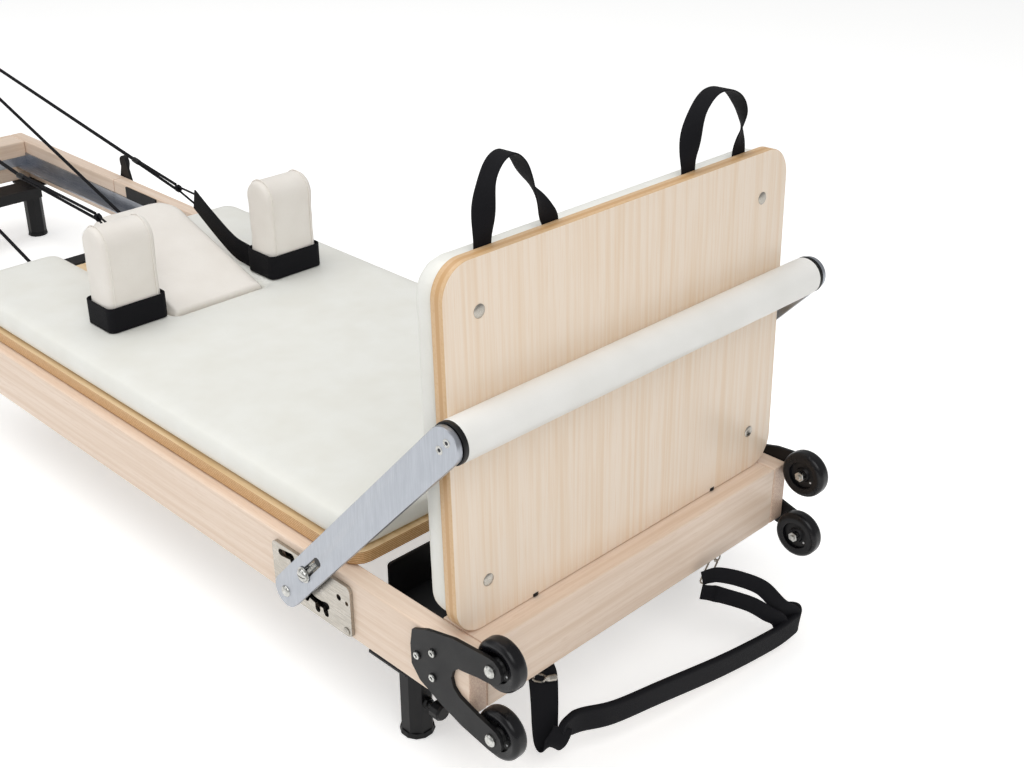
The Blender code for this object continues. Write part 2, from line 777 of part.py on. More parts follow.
def build_cross_rails():
    """The end rails, the foot one with two holes for the jump board's pegs."""
    foot = box_part("foot_end_rail", (FOOT_FACE - END_RAIL_WIDTH, -CROSS_HALF, RAIL_BOTTOM),
                    (FOOT_FACE, CROSS_HALF, RAIL_TOP), "maple")
    for side, sign in SIDES.items():
        hole = rod(jump_point(PEG_SETBACK, sign * PEG_SPREAD, -PEG_DEPTH - PEG_CLEARANCE),
                   jump_point(PEG_SETBACK, sign * PEG_SPREAD, PEG_DEPTH / 4), PEG_RADIUS + PEG_CLEARANCE, 12)
        boolean(foot, mesh_part(side + "_peg_hole", hole, "maple"))
    box_part("head_end_rail", (HEAD_FACE, -CROSS_HALF, RAIL_BOTTOM),
             (HEAD_FACE + HEAD_RAIL_WIDTH, CROSS_HALF, RAIL_TOP), "maple", FOLD_AXIS)


def track(x0, x1, sign):
    """One angle track: a wall on the rail's inner face and the shelf that the wheels run on."""
    shelf = SHELF_TOP - TRACK_WALL
    inside = CROSS_HALF - TRACK_SHELF
    face = CROSS_HALF - TRACK_WALL
    outline = [(CROSS_HALF, shelf), (CROSS_HALF, shelf + TRACK_RISE), (face, shelf + TRACK_RISE),
               (face, SHELF_TOP), (inside, SHELF_TOP), (inside, shelf)]
    mirror = Matrix.Diagonal((1, sign, 1, 1))
    return plate([outline], x1 - x0, mirror @ facing_x((x0 + x1) / 2))


def build_tracks():
    """Aluminium angle tracks inside both sections, with a cross strip along each end rail."""
    foot, head = FOOT_FACE - END_RAIL_WIDTH - SEAT, HEAD_FACE + HEAD_RAIL_WIDTH + SEAT
    half = CROSS_HALF - TRACK_WALL / 2
    low = SHELF_TOP - TRACK_WALL / 2
    spans = (("frame_tracks", FOLD_X + FOLD_GAP / 2, foot, foot - TRACK_WALL - SEAT, (0, 0, 0)),
             ("head_tracks", head, FOLD_X - FOLD_GAP / 2, head + SEAT, FOLD_AXIS))
    for name, x0, x1, cross, origin in spans:
        strip = bmesh.new()
        add_box(strip, (cross, -half, low), (cross + TRACK_WALL, half, low + TRACK_CROSS_RISE))
        joined_part(name, [strip, track(x0, x1, 1), track(x0, x1, -1)], "aluminium", origin)


def leaf_outline(direction):
    """One hinge leaf in the X-Z plane: a plate on the rail and the ear that holds the pin."""
    foot = FOLD_X + direction * FOLD_GAP / 2
    tip = FOLD_X + direction * LEAF_LENGTH
    high = RAIL_TOP - LEAF_BELOW_TOP
    low = high - LEAF_HEIGHT
    ear = arc((FOLD_X, FOLD_Z), KNUCKLE_RADIUS, 90 - direction * 75, 90 + direction * 105, 6)
    return [(foot, low), (tip, low), (tip, high), (FOLD_X + direction * LEAF_SLOPE, high)] + ear + [(foot, high)]


def leaf_screws(direction, face, sign):
    """Heads of the three screws that hold a leaf."""
    high = RAIL_TOP - LEAF_BELOW_TOP
    inset = 0.2 * LEAF_HEIGHT
    tip = FOLD_X + direction * (LEAF_LENGTH - inset)
    places = [(tip, high - inset), (tip, high - LEAF_HEIGHT + inset),
              (FOLD_X + direction * LEAF_LENGTH / 2, high - LEAF_HEIGHT / 2)]
    return [screw_head(x, sign * (face + LEAF_THICKNESS), z, (0, sign, 0)) for x, z in places]


def build_fold_hinge():
    """Outer leaves with raised knuckles, the pins in the frame's leaves, and backing plates."""
    bore = circle((FOLD_X, FOLD_Z), HINGE_PIN_RADIUS + SEAT, 12)
    first = HALF_WIDTH + SEAT
    second = first + LEAF_THICKNESS + SEAT
    high = RAIL_TOP - LEAF_BELOW_TOP
    backing_low = RAIL_TOP - TRACK_DROP + TRACK_RISE + SEAT
    head = second + LEAF_THICKNESS + SEAT - first - OVERLAP
    pin = [(0.0, HINGE_PIN_RADIUS), (head, HINGE_PIN_RADIUS), (head, PIN_HEAD_RADIUS),
           (head + 0.7 * PIN_HEAD_HEIGHT, PIN_HEAD_RADIUS), (head + PIN_HEAD_HEIGHT, 0.8 * PIN_HEAD_RADIUS)]
    for side, sign in SIDES.items():
        pieces = [plate([leaf_outline(1)], LEAF_THICKNESS, facing_y(sign * (first + LEAF_THICKNESS / 2))),
                  turned(pin, (FOLD_X, sign * (first + OVERLAP), FOLD_Z), (0, sign, 0))]
        joined_part(side + "_frame_leaf", pieces + leaf_screws(1, first, sign), "black_steel")
        packing = side_box((FOLD_X - LEAF_LENGTH + OVERLAP, FOLD_X - LEAF_SLOPE), (first, second + OVERLAP),
                           (high - LEAF_HEIGHT + OVERLAP, high - OVERLAP), sign)
        pieces = [plate([leaf_outline(-1), bore], LEAF_THICKNESS, facing_y(sign * (second + LEAF_THICKNESS / 2))),
                  packing]
        joined_part(side + "_head_leaf", pieces + leaf_screws(-1, second, sign), "black_steel", FOLD_AXIS)
        backing = side_box((FOLD_X + BACKING_START, FOLD_X + BACKING_START + BACKING_LENGTH),
                           (CROSS_HALF - BACKING_THICKNESS, CROSS_HALF), (backing_low, RAIL_TOP - EDGE_ROUND), sign)
        mesh_part(side + "_backing_plate", backing, "black_steel")


# Legs


def leg_pieces(x, sign):
    """An eight-sided leg: the flange under its side rail, the column and the rubber foot."""
    top = RAIL_BOTTOM - SEAT
    y = sign * LEG_SIDE
    edge = LEG_SIDE - LEG_RADIUS - FLANGE_THICKNESS
    flange = side_box((x - FLANGE_LENGTH / 2, x + FLANGE_LENGTH / 2), (edge, HALF_WIDTH),
                      (top - FLANGE_THICKNESS, top), sign, FLANGE_THICKNESS / 4)
    column = rod((x, y, FOOT_THICKNESS / 2), (x, y, top - FLANGE_THICKNESS / 2), LEG_RADIUS, 8)
    bmesh.ops.rotate(column, cent=(x, y, 0), matrix=Matrix.Rotation(math.radians(22.5), 3, "Z"),
                     verts=column.verts)
    foot = [(0.0, LEG_RADIUS + 0.001), (0.2 * FOOT_THICKNESS, LEG_RADIUS + 0.002),
            (FOOT_THICKNESS, LEG_RADIUS + 0.0005)]
    return [column, flange, turned(foot, (x, y, 0), (0, 0, 1), 12)]


def build_foot_legs():
    """The foot end's legs, each with the nut of its clamp screw."""
    for side, sign in SIDES.items():
        nut = plate([circle((sign * LEG_SIDE, KNOB_HEIGHT), NUT_RADIUS, 6),
                     circle((sign * LEG_SIDE, KNOB_HEIGHT), STUD_RADIUS + SEAT, 12)], NUT_HEIGHT + OVERLAP,
                    facing_x(LEG_FACE + (NUT_HEIGHT - OVERLAP) / 2))
        joined_part(side + "_foot_leg", leg_pieces(FOOT_FACE - FOOT_LEG_DISTANCE, sign) + [nut], "black_steel",
                    smooth_angle=20.0)


def stand_beam(x0, x1):
    """The beam that joins two legs just under their flanges' tops."""
    top = RAIL_BOTTOM - SEAT - OVERLAP
    beam = bmesh.new()
    add_box(beam, (x0, -LEG_SIDE, top - STAND_BEAM_HEIGHT), (x1, LEG_SIDE, top))
    return beam


def build_stands():
    """The middle stand, and the head stand with the risers and the forks of the pulleys."""
    x = FOOT_FACE - MIDDLE_LEG_DISTANCE
    pieces = [stand_beam(x - STAND_BEAM / 2, x + STAND_BEAM / 2)] + leg_pieces(x, 1) + leg_pieces(x, -1)
    joined_part("middle_stand", pieces, "black_steel", smooth_angle=20.0)
    x, riser_x = FOOT_FACE - HEAD_LEG_DISTANCE, FOOT_FACE - RISER_DISTANCE
    half = RISER_SIZE / 2
    pieces = [stand_beam(x - half, riser_x + half + OVERLAP)] + leg_pieces(x, 1) + leg_pieces(x, -1)
    for sign in SIDES.values():
        y = sign * RISER_SPREAD
        post = bmesh.new()
        add_box(post, (riser_x - half, y - half, RAIL_BOTTOM - STAND_BEAM_HEIGHT / 2),
                (riser_x + half, y + half, RAIL_TOP + RISER_TOP), EDGE_ROUND, 1)
        pieces += [post] + fork_pieces(riser_x, y)
    joined_part("head_stand", pieces, "black_steel", FOLD_AXIS, 20.0)


def fork_pieces(x, y):
    """Two cheeks on a riser and the pin between them on which the pulley turns."""
    cheek = RISER_SIZE / 2 - OVERLAP
    reach = cheek + CHEEK_THICKNESS
    pin = [(-reach - 0.003, 0.0055), (-reach - 0.001, 0.007), (OVERLAP - reach, 0.007),
           (OVERLAP - reach, PULLEY_PIN_RADIUS), (reach - OVERLAP, PULLEY_PIN_RADIUS), (reach - OVERLAP, 0.007),
           (reach + 0.001, 0.007), (reach + 0.003, 0.0055)]
    outline = slot_outline((x, PULLEY_Z), (PULLEY_X, PULLEY_Z), CHEEK_RADIUS, 4)
    cheeks = [plate([outline], CHEEK_THICKNESS, facing_y(y + side * (cheek + CHEEK_THICKNESS / 2)))
              for side in (-1, 1)]
    return cheeks + [turned(pin, (PULLEY_X, y, PULLEY_Z), (0, 1, 0), 10)]


def build_leg_knobs():
    """Clamp screws through the foot legs: a stud with a fluted black knob."""
    profile = [(0.0, STUD_RADIUS), (KNOB_STUD, STUD_RADIUS), (KNOB_STUD, 0.88 * KNOB_RADIUS),
               (KNOB_STUD + 0.1 * KNOB_LENGTH, KNOB_RADIUS), (KNOB_STUD + 0.83 * KNOB_LENGTH, KNOB_RADIUS),
               (KNOB_STUD + KNOB_LENGTH, 0.80 * KNOB_RADIUS)]
    for side, sign in SIDES.items():
        start = (LEG_FACE + SEAT, sign * LEG_SIDE, KNOB_HEIGHT)
        bm = bmesh.new()
        add_turned(bm, profile, start, (1, 0, 0), 12)
        mesh_part(side + "_leg_knob", bm, "nylon", start)


# Transport wheels


def wheel_places():
    """Axle places of the upper and the lower wheel in the X-Z plane."""
    return {"upper": (FOOT_FACE + WHEEL_FORWARD, RAIL_TOP + UPPER_WHEEL_RISE),
            "lower": (FOOT_FACE + WHEEL_FORWARD, RAIL_TOP - LOWER_WHEEL_DROP)}


def plate_screw_places():
    """Where three screws hold a wheel plate, in the X-Z plane."""
    return [(FOOT_FACE - 0.088, RAIL_TOP - 0.043), (FOOT_FACE - 0.059, RAIL_TOP - 0.024),
            (FOOT_FACE - 0.060, RAIL_TOP - 0.062)]


def wheel_plate_outline():
    """The forked plate that carries both wheels of one side."""
    upper, lower = wheel_places()["upper"], wheel_places()["lower"]
    x, z = FOOT_FACE, RAIL_TOP
    points = [(x - 0.101, z - 0.032), (x - 0.097, z - 0.008), (x - 0.070, z + 0.005), (x - 0.020, z + 0.018)]
    points += arc(upper, WHEEL_ARM_END, 100, -75, 6)
    points += [(x + 0.020, z - 0.0165), (x - 0.004, z - 0.0215)]
    points += arc((x - 0.003, z - 0.044), 0.0235, 115, 245, 4)
    points += [(x + 0.018, z - 0.0745)]
    points += arc(lower, WHEEL_ARM_END, 65, -110, 6)
    points += [(x - 0.010, z - 0.108), (x - 0.050, z - 0.095), (x - 0.085, z - 0.080), (x - 0.100, z - 0.062)]
    return points


def build_wheel_plates():
    """Plates on the side rails, each with its screws and the bolts, spacers and nuts of two wheels."""
    inside = WHEEL_Y - HUB_HALF - 2 * SEAT
    nut = 0.9 * NUT_RADIUS
    spacer = WHEEL_Y + HUB_HALF + SEAT - inside
    face = PLATE_FACE - inside
    bolt = [(-NUT_HEIGHT, nut), (0.0, nut), (0.0, WHEEL_BOLT_RADIUS), (spacer, WHEEL_BOLT_RADIUS),
            (spacer, WHEEL_SPACER_RADIUS), (face - OVERLAP, WHEEL_SPACER_RADIUS), (face - OVERLAP, NUT_RADIUS),
            (face + 0.002, NUT_RADIUS), (face + 0.0042, 0.6 * NUT_RADIUS)]
    for side, sign in SIDES.items():
        pieces = [plate([wheel_plate_outline()], WHEEL_PLATE, facing_y(sign * (PLATE_FACE - WHEEL_PLATE / 2)))]
        pieces += [turned(bolt, (x, sign * inside, z), (0, sign, 0), 10) for x, z in wheel_places().values()]
        pieces += [screw_head(x, sign * PLATE_FACE, z, (0, sign, 0)) for x, z in plate_screw_places()]
        joined_part(side + "_wheel_plate", pieces, "black_steel")


def build_wheels():
    """Four rubber wheels, each a tyre round a sunk hub with a bored boss."""
    half = WHEEL_WIDTH / 2
    bore = WHEEL_BOLT_RADIUS + WHEEL_BORE_CLEARANCE
    sunk = HUB_HALF - HUB_SUNK
    corner = [(WHEEL_RADIUS - WHEEL_CORNER + WHEEL_CORNER * math.sin(angle),
               half - WHEEL_CORNER + WHEEL_CORNER * math.cos(angle))
              for angle in (math.radians(step) for step in (0, 45, 90))]
    upper = [(bore, HUB_HALF), (HUB_BOSS_RADIUS, HUB_HALF), (HUB_BOSS_RADIUS + 0.001, sunk), (HUB_RADIUS, sunk)] + corner
    profile = upper + [(radius, -along) for radius, along in reversed(upper)]
    for side, sign in SIDES.items():
        for level, (x, z) in wheel_places().items():
            screw_part(side + "_" + level + "_wheel", profile, (x, sign * WHEEL_Y, z), "rubber")


# Spring bar


def build_spring_bar():
    """A black tray between the rails with slots, and its flange with holes for the spring hooks."""
    x1 = FOOT_FACE - TRAY_START
    x0 = x1 - TRAY_LENGTH
    bottom = RAIL_TOP - TRAY_DROP
    outlines = [rectangle(x0, -CROSS_HALF, x1, CROSS_HALF, 0.004, 1)]
    middle = (x0 + x1) / 2
    for y in SPRING_SPREADS:
        outlines.append(rectangle(middle - TRAY_SLOT_LENGTH / 2, y - TRAY_SLOT_WIDTH / 2,
                                  middle + TRAY_SLOT_LENGTH / 2, y + TRAY_SLOT_WIDTH / 2, 0.008, 2))
    tray = plate(outlines, TRAY_THICKNESS, flat_at(bottom + TRAY_THICKNESS / 2))
    low = bottom + TRAY_THICKNESS - OVERLAP
    flange_half = CROSS_HALF - TRACK_SHELF - SEAT
    outlines = [rectangle(-flange_half, low, flange_half, low + TRAY_FLANGE, 0.004, 2)]
    for y in SPRING_SPREADS:
        outlines.append(circle((y, low + 0.6 * TRAY_FLANGE), HOOK_HOLE_RADIUS, 8))
    flange = plate(outlines, TRAY_FLANGE_THICKNESS, facing_x(x0 + OVERLAP + TRAY_FLANGE_THICKNESS / 2))
    joined_part("spring_bar", [tray, flange], "black_steel")


# Carriage


def post_places(sign):
    """Plan places of one shoulder rest's two posts."""
    x = REST_X - REST_THICKNESS / 2
    middle = REST_INNER + REST_WIDTH / 2
    return [(x, sign * (middle + shift)) for shift in (-POST_SPACING / 2, POST_SPACING / 2)]


def ratchet_slot(y):
    """The slot in the carriage board through which one of the headrest's ratchet bars passes."""
    pivot_x, pivot_z = HEADREST_PIVOT[0], HEADREST_PIVOT[2]
    inner, outer = RATCHET_RADIUS - RATCHET_DEPTH / 2, RATCHET_RADIUS + RATCHET_DEPTH / 2
    near_x = pivot_x - math.sqrt(inner ** 2 - (pivot_z - BOARD_BOTTOM) ** 2) + RATCHET_CLEARANCE
    far_x = pivot_x - math.sqrt(outer ** 2 - (pivot_z - BOARD_TOP) ** 2) - RATCHET_CLEARANCE
    half = RATCHET_WIDTH / 2 + RATCHET_CLEARANCE
    return rectangle(far_x, y - half, near_x, y + half, 0.0005, 1)


def build_carriage_board():
    """The plywood board with holes for the rests' posts and slots for the ratchet bars."""
    outlines = [rectangle(CARRIAGE_X - CARRIAGE_LENGTH, -CARRIAGE_WIDTH / 2, CARRIAGE_X, CARRIAGE_WIDTH / 2,
                          CARRIAGE_CORNER, 4)]
    for sign in SIDES.values():
        outlines += [circle(place, POST_RADIUS + POST_CLEARANCE, 12) for place in post_places(sign)]
        outlines.append(ratchet_slot(sign * RATCHET_SPREAD))
    bm = plate(outlines, CARRIAGE_BOARD, flat_at(BOARD_BOTTOM + CARRIAGE_BOARD / 2))
    mesh_part("carriage_board", bm, "plywood")


def build_carriage_pad():
    """The cream pad with its open notch for the headrest and holes for the rests' posts."""
    x1 = CARRIAGE_X - PAD_INSET
    x0 = CARRIAGE_X - CARRIAGE_LENGTH + PAD_INSET
    half = CARRIAGE_WIDTH / 2 - PAD_INSET
    notch = HEADREST_WIDTH / 2 + HEADREST_SEAM
    wall = FOOT_FACE - NOTCH_DISTANCE
    corners = [(x1, -half), (x1, half), (x0, half), (x0, notch), (wall, notch), (wall, -notch),
               (x0, -notch), (x0, -half)]
    radii = [CARRIAGE_CORNER] * 4 + [NOTCH_CORNER] * 2 + [CARRIAGE_CORNER] * 2
    pad = cushion(rounded(corners, radii, 3), pad_levels(PAD_HEIGHT, PAD_EDGE), flat_at(PAD_BOTTOM))
    pad = mesh_part("carriage_pad", pad, "cream")
    for side, sign in SIDES.items():
        bm = bmesh.new()
        for x, y in post_places(sign):
            add_rod(bm, (x, y, BOARD_TOP), (x, y, PAD_TOP + POST_DEPTH), POST_RADIUS + POST_CLEARANCE, 12)
        boolean(pad, mesh_part(side + "_post_holes", bm, "cream"))


def axle_places():
    """X of the front and the rear axle."""
    return {"front": CARRIAGE_X - FRONT_AXLE_SETBACK, "rear": CARRIAGE_X - CARRIAGE_LENGTH + REAR_AXLE_SETBACK}


def build_roller_axles():
    """Two turned axles, each with a wheel at both ends."""
    tip = ROLLER_OUTER + ROLLER_GAP / 2
    inner = ROLLER_OUTER - ROLLER_WIDTH
    soft = 0.1 * ROLLER_RADIUS
    half = [(inner, AXLE_RADIUS), (inner, ROLLER_RADIUS - soft), (inner + soft, ROLLER_RADIUS),
            (ROLLER_OUTER - soft, ROLLER_RADIUS), (ROLLER_OUTER, ROLLER_RADIUS - soft),
            (ROLLER_OUTER, AXLE_RADIUS), (tip, AXLE_RADIUS)]
    profile = [(-along, radius) for along, radius in reversed(half)] + half
    for name, x in axle_places().items():
        bm = bmesh.new()
        add_turned(bm, profile, (x, 0, AXLE_Z), (0, 1, 0), 16)
        mesh_part(name + "_roller_axle", bm, "nylon", (x, 0, AXLE_Z), 40.0)


def build_carriage_chassis():
    """Cross plates with hangers for the axles, their spine, and the cleats that hold the ropes' ends."""
    top = BOARD_BOTTOM - SEAT
    outer = CROSS_HALF - HANGER_FROM_RAIL
    half = HANGER_LENGTH / 2
    upper, lower = top - CHASSIS_THICKNESS / 8, top - CHASSIS_THICKNESS + CHASSIS_THICKNESS / 8
    front, rear = axle_places()["front"], axle_places()["rear"]
    spine = bmesh.new()
    add_box(spine, (rear, -SPINE_WIDTH / 2, lower), (front, SPINE_WIDTH / 2, upper))
    pieces = [spine]
    for x in (front, rear):
        cross = bmesh.new()
        add_box(cross, (x - half, OVERLAP - outer, top - CHASSIS_THICKNESS), (x + half, outer - OVERLAP, top))
        pieces.append(cross)
        corners = [(x + half - OVERLAP, upper), (x - half + OVERLAP, upper), (x - half + OVERLAP, AXLE_Z),
                   (x, AXLE_Z - HANGER_DROP), (x + half - OVERLAP, AXLE_Z)]
        outline = rounded(corners, [0.0, 0.0, 0.004, 0.010, 0.004], 1)
        hole = circle((x, AXLE_Z), AXLE_RADIUS + AXLE_CLEARANCE, 12)
        pieces += [plate([outline, hole], HANGER_THICKNESS, facing_y(sign * (outer - HANGER_THICKNESS / 2)))
                   for sign in SIDES.values()]
    face = CARRIAGE_X - CARRIAGE_LENGTH - SEAT
    for sign in SIDES.values():
        middle = sign * ROPE_END[1]
        arm, cleat = bmesh.new(), bmesh.new()
        add_box(arm, (face - CLEAT_THICKNESS / 2, middle - CLEAT_WIDTH / 3, lower),
                (rear, middle + CLEAT_WIDTH / 3, upper))
        add_box(cleat, (face - CLEAT_THICKNESS, middle - CLEAT_WIDTH / 2, top - CHASSIS_THICKNESS),
                (face, middle + CLEAT_WIDTH / 2, BOARD_TOP))
        pieces += [arm, cleat]
    joined_part("carriage_chassis", pieces, "black_steel")


def build_springs():
    """Four springs parked under the board, each with a hook at both ends."""
    hook = 0.3 * SPRING_RADIUS
    profile = [(0.0, hook), (SPRING_HOOK, hook), (SPRING_HOOK, SPRING_RADIUS),
               (SPRING_HOOK + SPRING_LENGTH, SPRING_RADIUS), (SPRING_HOOK + SPRING_LENGTH, hook),
               (2 * SPRING_HOOK + SPRING_LENGTH, hook)]
    z = BOARD_BOTTOM - CHASSIS_THICKNESS - 2 * SEAT - SPRING_RADIUS
    for name, y in zip(("near_outer", "near_inner", "far_inner", "far_outer"), SPRING_SPREADS):
        mesh_part(name + "_spring", turned(profile, (CARRIAGE_X - SPRING_SETBACK, y, z), (-1, 0, 0), 12), "zinc")


# Headrest


def raised(bm):
    """Turns what is modelled flat about the headrest's axis to its raised place."""
    bmesh.ops.rotate(bm, cent=HEADREST_PIVOT, matrix=Matrix.Rotation(math.radians(HEADREST_ANGLE), 3, "Y"),
                     verts=bm.verts)
    return bm


def build_headrest():
    """The headrest's pad, and its board with two ratchet bars that slide through the carriage board."""
    x1 = HEADREST_PIVOT[0] - SEAT
    x0 = x1 - HEADREST_LENGTH
    half = HEADREST_WIDTH / 2
    outline = rounded([(x1, -half), (x1, half), (x0, half), (x0, -half)],
                      [0.0, 0.0, HEADREST_CORNER, HEADREST_CORNER], 4)
    low = BOARD_TOP + HEADREST_FLOAT
    pieces = [raised(plate([outline], HEADREST_BOARD, flat_at(low + HEADREST_BOARD / 2)))]
    inner, outer = RATCHET_RADIUS - RATCHET_DEPTH / 2, RATCHET_RADIUS + RATCHET_DEPTH / 2
    pivot = (HEADREST_PIVOT[0], HEADREST_PIVOT[2])
    first = 180 + math.degrees(math.asin((pivot[1] - low - HEADREST_BOARD / 2) / inner))
    last = 180 + RATCHET_END
    bar = arc(pivot, inner, first, last, 6) + arc(pivot, outer, last, first, 6)
    pieces += [raised(plate([bar], RATCHET_WIDTH, facing_y(sign * RATCHET_SPREAD))) for sign in SIDES.values()]
    joined_part("headrest_board", pieces, "plywood", HEADREST_PIVOT)
    pad_low = low + HEADREST_BOARD + SEAT
    levels = pad_levels(PAD_TOP - pad_low - SEAT, HEADREST_EDGE)
    mesh_part("headrest_pad", raised(cushion(outline, levels, flat_at(pad_low))), "cream", HEADREST_PIVOT)


# Shoulder rests


def build_shoulder_rests():
    """Padded blocks with half-round tops and crowned ends, each on two posts."""
    low = PAD_TOP + SEAT
    radius = REST_THICKNESS / 2
    outline = [(REST_X - REST_THICKNESS, low), (REST_X, low)]
    outline += arc((REST_X - radius, low + REST_HEIGHT - radius), radius, 0, 180, 8)
    ends = [(3.0 * REST_EDGE, 0.0), (0.7 * REST_EDGE, 0.25 * REST_EDGE), (0.0, REST_EDGE)]
    levels = ends + [(inset, REST_WIDTH - along) for inset, along in reversed(ends)]
    swap = Matrix(((1, 0, 0, 0), (0, 0, 1, 0), (0, 1, 0, 0), (0, 0, 0, 1)))
    for side, sign in SIDES.items():
        inner = REST_INNER if sign > 0 else -REST_INNER - REST_WIDTH
        pieces = [cushion(outline, levels, Matrix.Translation((0, inner, 0)) @ swap)]
        pieces += [rod((x, y, low - POST_DEPTH), (x, y, low + POST_RADIUS), POST_RADIUS, 12)
                   for x, y in post_places(sign)]
        joined_part(side + "_shoulder_rest", pieces, "cream", (REST_X, sign * REST_INNER, low), 45.0)


# Hand loops and ropes


def build_hand_loops():
    """For each side a band round the rest, its tail, two short cords and the knot."""
    gap = LOOP_GAP + LOOP_THICKNESS / 2
    x0, x1 = REST_X - REST_THICKNESS - gap, REST_X + gap
    y0, y1 = REST_INNER - gap, REST_INNER + REST_WIDTH + gap
    z = PAD_TOP + LOOP_GAP + LOOP_WIDTH / 2
    for side, tail, knot in (("near", NEAR_TAIL, NEAR_KNOT), ("far", FAR_TAIL, FAR_KNOT)):
        band = [Vector((x, SIDES[side] * y, z)) for x, y in rectangle(x0, y0, x1, y1, LOOP_CORNER, 2)]
        path = smooth_path([at(*point) for point in tail], 2)
        pieces = [strip_body(band, [Vector((0, 0, LOOP_WIDTH))] * len(band), LOOP_THICKNESS, True),
                  strip_body(path, [Vector((0, 0, TAIL_WIDTH))] * len(path), LOOP_THICKNESS)]
        end, centre = at(*tail[-1]), at(*knot)
        toward = (centre - end).normalized()
        for shift in (-1, 1):
            start = end - toward * CORD_RADIUS + Vector((0, 0, shift * TAIL_CORD_SHARE * TAIL_WIDTH))
            stop = centre + Vector((0, 0, shift * CORD_SPREAD))
            pieces.append(tube([start, start.lerp(stop, 0.5), stop], CORD_RADIUS))
        ball = bmesh.new()
        bmesh.ops.create_uvsphere(ball, u_segments=12, v_segments=8, radius=KNOT_RADIUS,
                                  matrix=Matrix.Translation(centre))
        joined_part(side + "_hand_loop", pieces + [ball], "webbing")


def tangent(point, radius, side):
    """Angle at which a line from a point touches a circle round the pulley's axle."""
    offset = Vector((point.x - PULLEY_X, point.z - PULLEY_Z))
    return math.degrees(math.atan2(offset.y, offset.x) + side * math.acos(radius / offset.length))


def rope_path(splice, sign):
    """From the splice over the pulley and back to the cleat at the carriage's head edge."""
    start = at(*splice)
    end = at(ROPE_END[0], sign * ROPE_END[1], ROPE_END[2])
    radius = GROOVE_RADIUS + ROPE_RADIUS + ROPE_CLEARANCE
    first, last = tangent(start, radius, 1), 360 + tangent(end, radius, -1)
    wrap = [Vector((x, sign * RISER_SPREAD, z)) for x, z in arc((PULLEY_X, PULLEY_Z), radius, first, last, 9)]
    out_leg = [start.lerp(wrap[0], step / 8) for step in range(8)]
    back_leg = [wrap[-1].lerp(end, step / 8) for step in range(1, 9)]
    return out_leg + wrap + back_leg


def build_ropes():
    """For each side two thin cords from the knot to a splice, then one rope over the pulley to its cleat."""
    reach = SPLICE_LENGTH / 2
    profile = [(-reach, 0.8 * SPLICE_RADIUS), (-0.6 * reach, SPLICE_RADIUS), (0.6 * reach, SPLICE_RADIUS),
               (reach, 0.8 * SPLICE_RADIUS)]
    for side, knot, splice in (("near", NEAR_KNOT, NEAR_SPLICE), ("far", FAR_KNOT, FAR_SPLICE)):
        start, centre = at(*splice), at(*knot)
        toward = (start - centre).normalized()
        pieces = [tube(rope_path(splice, SIDES[side]), ROPE_RADIUS), turned(profile, start, toward, 12)]
        for offset in (-CORD_SPREAD, CORD_SPREAD):
            first = centre + toward * (KNOT_RADIUS + SEAT) + Vector((0, 0, offset))
            last = start - toward * (reach / 2) + Vector((0, 0, offset / 2))
            pieces.append(tube([first.lerp(last, step / 3) for step in range(4)], CORD_RADIUS))
        joined_part(side + "_rope", pieces, "webbing", smooth_angle=45.0)


# Pulleys


def build_pulleys():
    """Grooved pulleys with long hubs between the fork's cheeks."""
    half = PULLEY_WIDTH / 2
    hub = RISER_SIZE / 2 - OVERLAP - SEAT
    bore = PULLEY_PIN_RADIUS + WHEEL_BORE_CLEARANCE
    upper = [(bore, hub), (0.009, hub), (0.010, half), (PULLEY_RADIUS - 0.0005, half),
             (PULLEY_RADIUS, half - 0.0008), (GROOVE_RADIUS, 0.45 * half)]
    profile = upper + [(radius, -along) for radius, along in reversed(upper)]
    for side, sign in SIDES.items():
        screw_part(side + "_pulley", profile, (PULLEY_X, sign * RISER_SPREAD, PULLEY_Z), "nylon")


# Footbar


def arm_point(reach, angle=ARM_ANGLE):
    """A point this far up the arm from the pivot, in the X-Z plane."""
    return (PIVOT[0] + reach * math.cos(math.radians(angle)), PIVOT[1] + reach * math.sin(math.radians(angle)))


def build_bar_arms():
    """Flat arms with a slot for the pivot bolt and a catch pin at the tail."""
    base = CATCH_FACE + SEAT
    outer = ARM_PLANE + ARM_THICKNESS - base
    pin = [(0.0, CATCH_PIN_RADIUS), (outer - OVERLAP, CATCH_PIN_RADIUS), (outer - OVERLAP, 0.0085),
           (outer + 0.0018, 0.0080), (outer + 0.0036, 0.0045)]
    tail_x, tail_z = arm_point(-ARM_TAIL)
    outlines = [slot_outline(arm_point(-ARM_TAIL), arm_point(ARM_REACH), ARM_WIDTH / 2, 8),
                slot_outline(arm_point(-LIFT_TRAVEL), arm_point(ARM_SLOT_REACH), PIVOT_PIN_RADIUS + SLOT_CLEARANCE)]
    for side, sign in SIDES.items():
        arm = plate(outlines, ARM_THICKNESS, facing_y(sign * (ARM_PLANE + ARM_THICKNESS / 2)))
        joined_part(side + "_bar_arm", [arm, turned(pin, (tail_x, sign * base, tail_z), (0, sign, 0), 14)],
                    "aluminium", PIVOT_AXIS)


